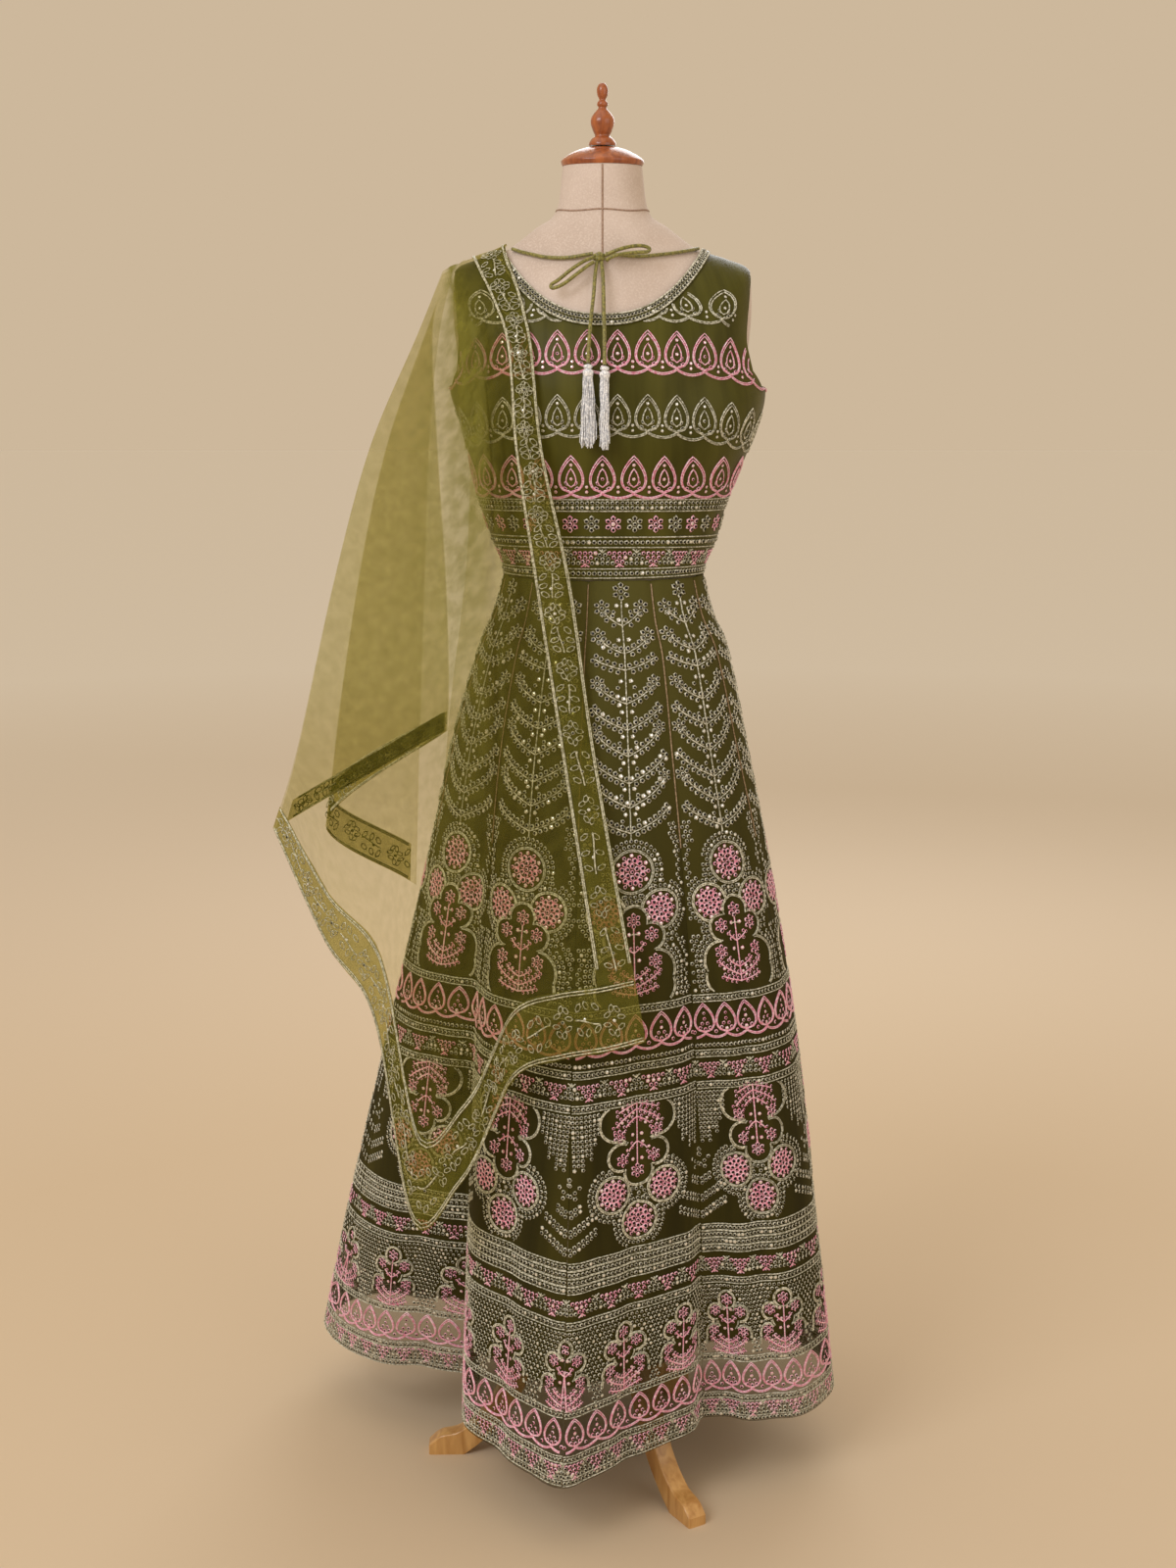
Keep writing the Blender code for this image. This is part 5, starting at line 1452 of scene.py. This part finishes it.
# One length of border: a corded line each side, flowers and leaf pairs in turn
def borderChart(length):
    chart, tone = newChart(), 0
    steps = max(int(length / 10), 4)
    for x in (-19.5, -17.6, 17.6, 19.5):
        addLine(chart, [(x, y) for y in np.linspace(2, length - 2, steps)], tone)
    count = max(int(length / 60), 1)
    unitLength = length / count
    for i in range(count):
        y = unitLength * (i + 0.5)
        sway = 2.0 if i % 2 else -2.0
        addLoop(chart, sway, y, tone, 2.4, i % 3 == 0)
        for k in range(8):
            turn = math.pi / 4 * k + 0.2
            addLoop(chart, *onCircle(sway, y, 8.2, turn), tone, 3.0, 0, 1.7, -turn, 1)
        for side, away in ((-1, math.pi), (1, 0)):
            for dx, dy, spin in ((7.0, 19, 0.7), (8.5, 30, 0.35), (7.5, 40, -0.5)):
                addLoop(chart, side * dx - sway, y + dy, tone, 3.3, 0, 1.8, side * spin + away, 1)
        addLoop(chart, -sway, y + 33, tone, 2.2, i % 2 == 0)
        addLine(chart, [(sway * math.cos(math.pi * t), y + 16 + 28 * t) for t in np.linspace(0, 1, 8)], tone)
    return chart


def embroiderStole():
    pale = [paleThread]
    for name, lines, side in stretches:
        last = len(lines) - 1
        # along the lower edge: x runs up the border's width, y along the edge
        across = np.linspace(0, last, last * 12 + 1)
        edge = stolePoint(lines, across, np.full_like(across, 0.985))
        arc = np.concatenate([[0], np.cumsum(np.linalg.norm(np.diff(edge, axis=0), axis=1))]) * 1000

        def endSurface(x, y, lines=lines, side=side, arc=arc, across=across):
            a = np.interp(y, arc, across)
            length = np.interp(a, np.arange(len(lines)), foldLengths(lines))
            down = 1 - (x / 1000 + borderWidth / 2) / length
            return keepClear(stolePoint(lines, a, np.clip(down, 0, 1)), stoleShape["clear"])

        def endAllowed(x, y, arc=arc, last=last, across=across, name=name):
            a = np.interp(y, arc, across)
            fold = np.abs(a - np.round(a)) < 0.06
            return ~(fold & (name == "stole_side")) & (y > 1) & (y < arc[-1] - 1)

        # the chart runs along the edge, so its outside is the other way round
        stitchChart(f"{name}_end_stitches", trimChart(borderChart(float(arc[-1])), endAllowed), endSurface,
                    stoleShape["stitchLift"], side, pale, "stole_border")
        if name == "stole_side":
            continue
        length = float(foldLengths(lines)[0]) * 1000

        def edgeSurface(x, y, lines=lines, length=length):
            a = np.clip(0.5 + x / (borderWidth * 1000), 0, 1)
            return keepClear(stolePoint(lines, a, np.clip(y / length, 0, 1)), stoleShape["clear"])

        def edgeAllowed(x, y, length=length):
            return (y > 9) & (y < length - 43)

        stitchChart(f"{name}_edge_stitches", trimChart(borderChart(length), edgeAllowed), edgeSurface,
                    stoleShape["stitchLift"], side, pale, "stole_border")


# Back tie and tassels
tieRows = {
    "tie_span_left": ((2.780, 195.0, 2.9), (2.68, 203.0, 2.8), (2.55, 213.0, 2.8), (2.42, 226.0, 2.8),
                      (2.29, 243.0, 3.1), (2.190, 262.8, 5.8)),
    "tie_span_right": ((2.900, 352.0, 2.9), (2.74, 341.0, 2.8), (2.54, 328.0, 2.8), (2.38, 314.0, 2.8),
                       (2.27, 297.0, 3.1), (2.190, 272.6, 5.8))}
tieRoutes = {
    "bow_loop_left": (
        (-.0099, -.0857, 1.4571), (-.0200, -.0885, 1.4530), (-.0340, -.0900, 1.4440),
        (-.0480, -.0905, 1.4330), (-.0560, -.0930, 1.4275), (-.0540, -.0965, 1.4240),
        (-.0430, -.0975, 1.4280), (-.0280, -.0960, 1.4390), (-.0160, -.0925, 1.4480),
        (-.0095, -.0895, 1.4520)),
    "bow_loop_right": (
        (.0034, -.0848, 1.4593), (.0140, -.0880, 1.4640), (.0280, -.0880, 1.4680), (.0420, -.0850, 1.4695),
        (.0510, -.0840, 1.4670), (.0490, -.0870, 1.4630), (.0360, -.0910, 1.4620), (.0200, -.0930, 1.4600),
        (.0095, -.0925, 1.4570), (.0045, -.0895, 1.4535)),
    "tie_tail_left": (
        (-.0060, -.0840, 1.4523), (-.0080, -.0930, 1.4380), (-.0095, -.1000, 1.4180),
        (-.0115, -.1075, 1.4000), (-.0135, -.1150, 1.3800), (-.0150, -.1205, 1.3600),
        (-.0156, -.1264, 1.3440)),
    "tie_tail_right": (
        (-.0010, -.0842, 1.4523), (.0005, -.0930, 1.4380), (.0012, -.1000, 1.4180), (.0016, -.1075, 1.4000),
        (.0020, -.1150, 1.3800), (.0022, -.1205, 1.3600), (.0024, -.1270, 1.3420))}
cordRadius = 0.0021
# Spread is how many times its head's width a tassel opens to, and lean how far it hangs back
tassels = {"left": {"spread": 2.15, "lean": 0.0060}, "right": {"spread": 1.10, "lean": 0.0085},
           "strands": 110, "length": 0.078, "head": 0.0052, "yarnRadius": 0.00048}


def makeTies():
    routes = {name: np.array(route) for name, route in tieRoutes.items()}
    for name, rows in tieRows.items():
        levels, angles, lifts = np.array(rows).T
        routes[name] = torsoPoint(levels, angles) + torsoNormal(levels, angles) * lifts[:, None] / 1000
    made = {}
    for name, route in routes.items():
        path = smoothLine(route, 36)
        tube = layThread([path.tolist()], cordRadius, 12, cordCloth)
        piece = joinMeshes(f"{name}_cord", [tube], "olive_cord")
        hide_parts(name)
        made[name] = (piece, path)
    knot = ringSkin("tie_knot_cord", knotLoops(), cordCloth)
    settle(knot, "olive_cord", "tie_knot")
    for side in ("left", "right"):
        makeTassel(side, routes[f"tie_tail_{side}"][-1])
    for name, (piece, path) in made.items():
        length = float(np.linalg.norm(np.diff(path, axis=0), axis=1).sum())
        print(f"{name}: {length * 1000:.0f} mm of cord")


# A flattened knot with the wrap's two bulges
def knotLoops():
    centre, size = np.array((-0.0033, -0.0812, 1.4575)), np.array((0.0076, 0.0055, 0.0060))
    rows, sides = 18, 32
    turn = np.linspace(0, 2 * math.pi, sides, endpoint=False)
    loops = []
    for i in range(rows):
        t = 0.03 + 0.94 * i / (rows - 1)
        polar = math.pi * t
        wrap = 1 + 0.07 * math.cos(6 * polar)
        ring = np.stack([np.sin(polar) * np.cos(turn), np.sin(polar) * np.sin(turn),
                         np.full(sides, math.cos(polar))], 1)
        loops.append(centre + ring * size * wrap * 0.95)
    return np.array(loops)


# A bound, fluted head over loose strands
def makeTassel(side, top):
    own = tassels[side]
    radius = tassels["head"]
    x, y, z = top[0], top[1], top[2] - 0.0011
    profile = [(0.0006, 0.0), (0.80, -0.0015), (0.86, -0.0040), (0.62, -0.0055), (1.00, -0.0070),
               (1.06, -0.0100), (0.9, -0.0130), (0.5, -0.0140)]
    profile = smoothLine([(r * (radius if r > 0.01 else 1), h) for r, h in profile], 26)
    turn = np.linspace(0, 2 * math.pi, 28, endpoint=False)
    flute = 1 + 0.05 * np.cos(14 * turn)
    loops = np.stack([x + np.outer(profile[:, 0], np.cos(turn) * flute),
                      y + np.outer(profile[:, 0], np.sin(turn) * flute),
                      z + np.repeat(profile[:, 1:], 28, 1)], -1)
    head = ringSkin(f"tassel_{side}_head", loops, silverYarn)
    settle(head, "silver_thread")
    luck = np.random.default_rng(11 if side == "left" else 12)
    strands = []
    for i in range(tassels["strands"]):
        reach = radius * math.sqrt((i + 0.5) / tassels["strands"]) * 0.92
        around = i * 2.39996
        root = np.array((reach * math.cos(around), reach * math.sin(around), -0.0125))
        length = tassels["length"] * (0.86 + 0.14 * luck.random())
        wobble = luck.normal(0, 1, (2, 3))
        strand = []
        for t in np.linspace(0, 1, 9):
            out = 1 + (own["spread"] * 0.82 - 1) * t**0.8
            crimp = 0.0006 * math.sin(14 * t + 6 * wobble[0, 0]) + 0.0007 * wobble[0, 1] * t
            strand.append((x + root[0] * out + crimp, y + root[1] * (1 + 0.1 * t) - own["lean"] * t
                           + 0.0005 * math.sin(11 * t + wobble[1, 1]), z + root[2] - length * t))
        strands.append(strand)
    yarn = layThread(strands, tassels["yarnRadius"], 4, silverYarn)
    piece = joinMeshes(f"tassel_{side}_yarn", [yarn], "silver_thread")
    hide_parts(f"tassel_{side}")


# Room
room = {"floorHalf": 30, "fade": (1.2, 7.0), "sky": "#cdb89c", "light": "#f3f7ff", "lookAt": (0, 0, 0.9),
        "lamps": {"key": ((-1.9, -2.6, 2.9), 1.8, 58), "fill": ((2.4, -2.4, 2.0), 2.6, 20),
                  "back": ((0.6, 2.6, 2.6), 2.0, 34)}, "sun": 0.55}


def addLamp(name, kind, power, place, turn):
    lamp = bpy.data.lights.new(name, kind)
    lamp.energy = power
    light = bpy.data.objects.new(name, lamp)
    light.location = place
    light.rotation_euler = turn
    bpy.context.scene.collection.objects.link(light)
    return lamp


# Matt paper floor that pales with distance. A soft overhead sun keeps the far floor as light as
# the near one
def makeRoom():
    half = room["floorHalf"]
    mesh = bpy.data.meshes.new("floor")
    mesh.from_pydata([(-half, -half, 0), (half, -half, 0), (half, half, 0), (-half, half, 0)], [],
                     [(0, 1, 2, 3)])
    floorPaint, tree, shader = newMaterial("mattPaperFloor", 0.85)
    place = addNode(tree, "ShaderNodeTexCoord").outputs["Object"]
    reach = addNode(tree, "ShaderNodeVectorMath", {0: place}, operation="LENGTH")
    paint = twoTones(tree, reach.outputs["Value"], *room["fade"], colour("#c9b598"), colour("#e5e0d6"))
    tree.links.new(paint, shader.inputs["Base Color"])
    linkMesh("floor", mesh, [floorPaint])
    world = bpy.data.worlds.new("softRoom")
    bpy.context.scene.world = world
    world.use_nodes = True
    sky = world.node_tree.nodes["Background"]
    sky.inputs["Color"].default_value = colour(room["sky"])
    sky.inputs["Strength"].default_value = 1.0
    for name, (place, size, power) in room["lamps"].items():
        towards = Vector(room["lookAt"]) - Vector(place)
        lamp = addLamp(name, "AREA", power, place, towards.to_track_quat("-Z", "Y").to_euler())
        lamp.size = size
        lamp.color = colour(room["light"])[:3]
    sun = addLamp("overhead", "SUN", room["sun"], (0, 0, 0), (math.radians(12), math.radians(-14), 0))
    sun.angle = math.radians(70)


makeTies()
print("ties made")
makeForm()
makeLegs()
print("form made")
makeBodice()
embroiderBodice()
print("bodice made")
makeSkirt()
print("skirt made")
makeStole()
embroiderStole()
print("stole made")
makeRoom()
for stitch in (ringStitch, petalStitch):
    bpy.data.objects.remove(stitch)
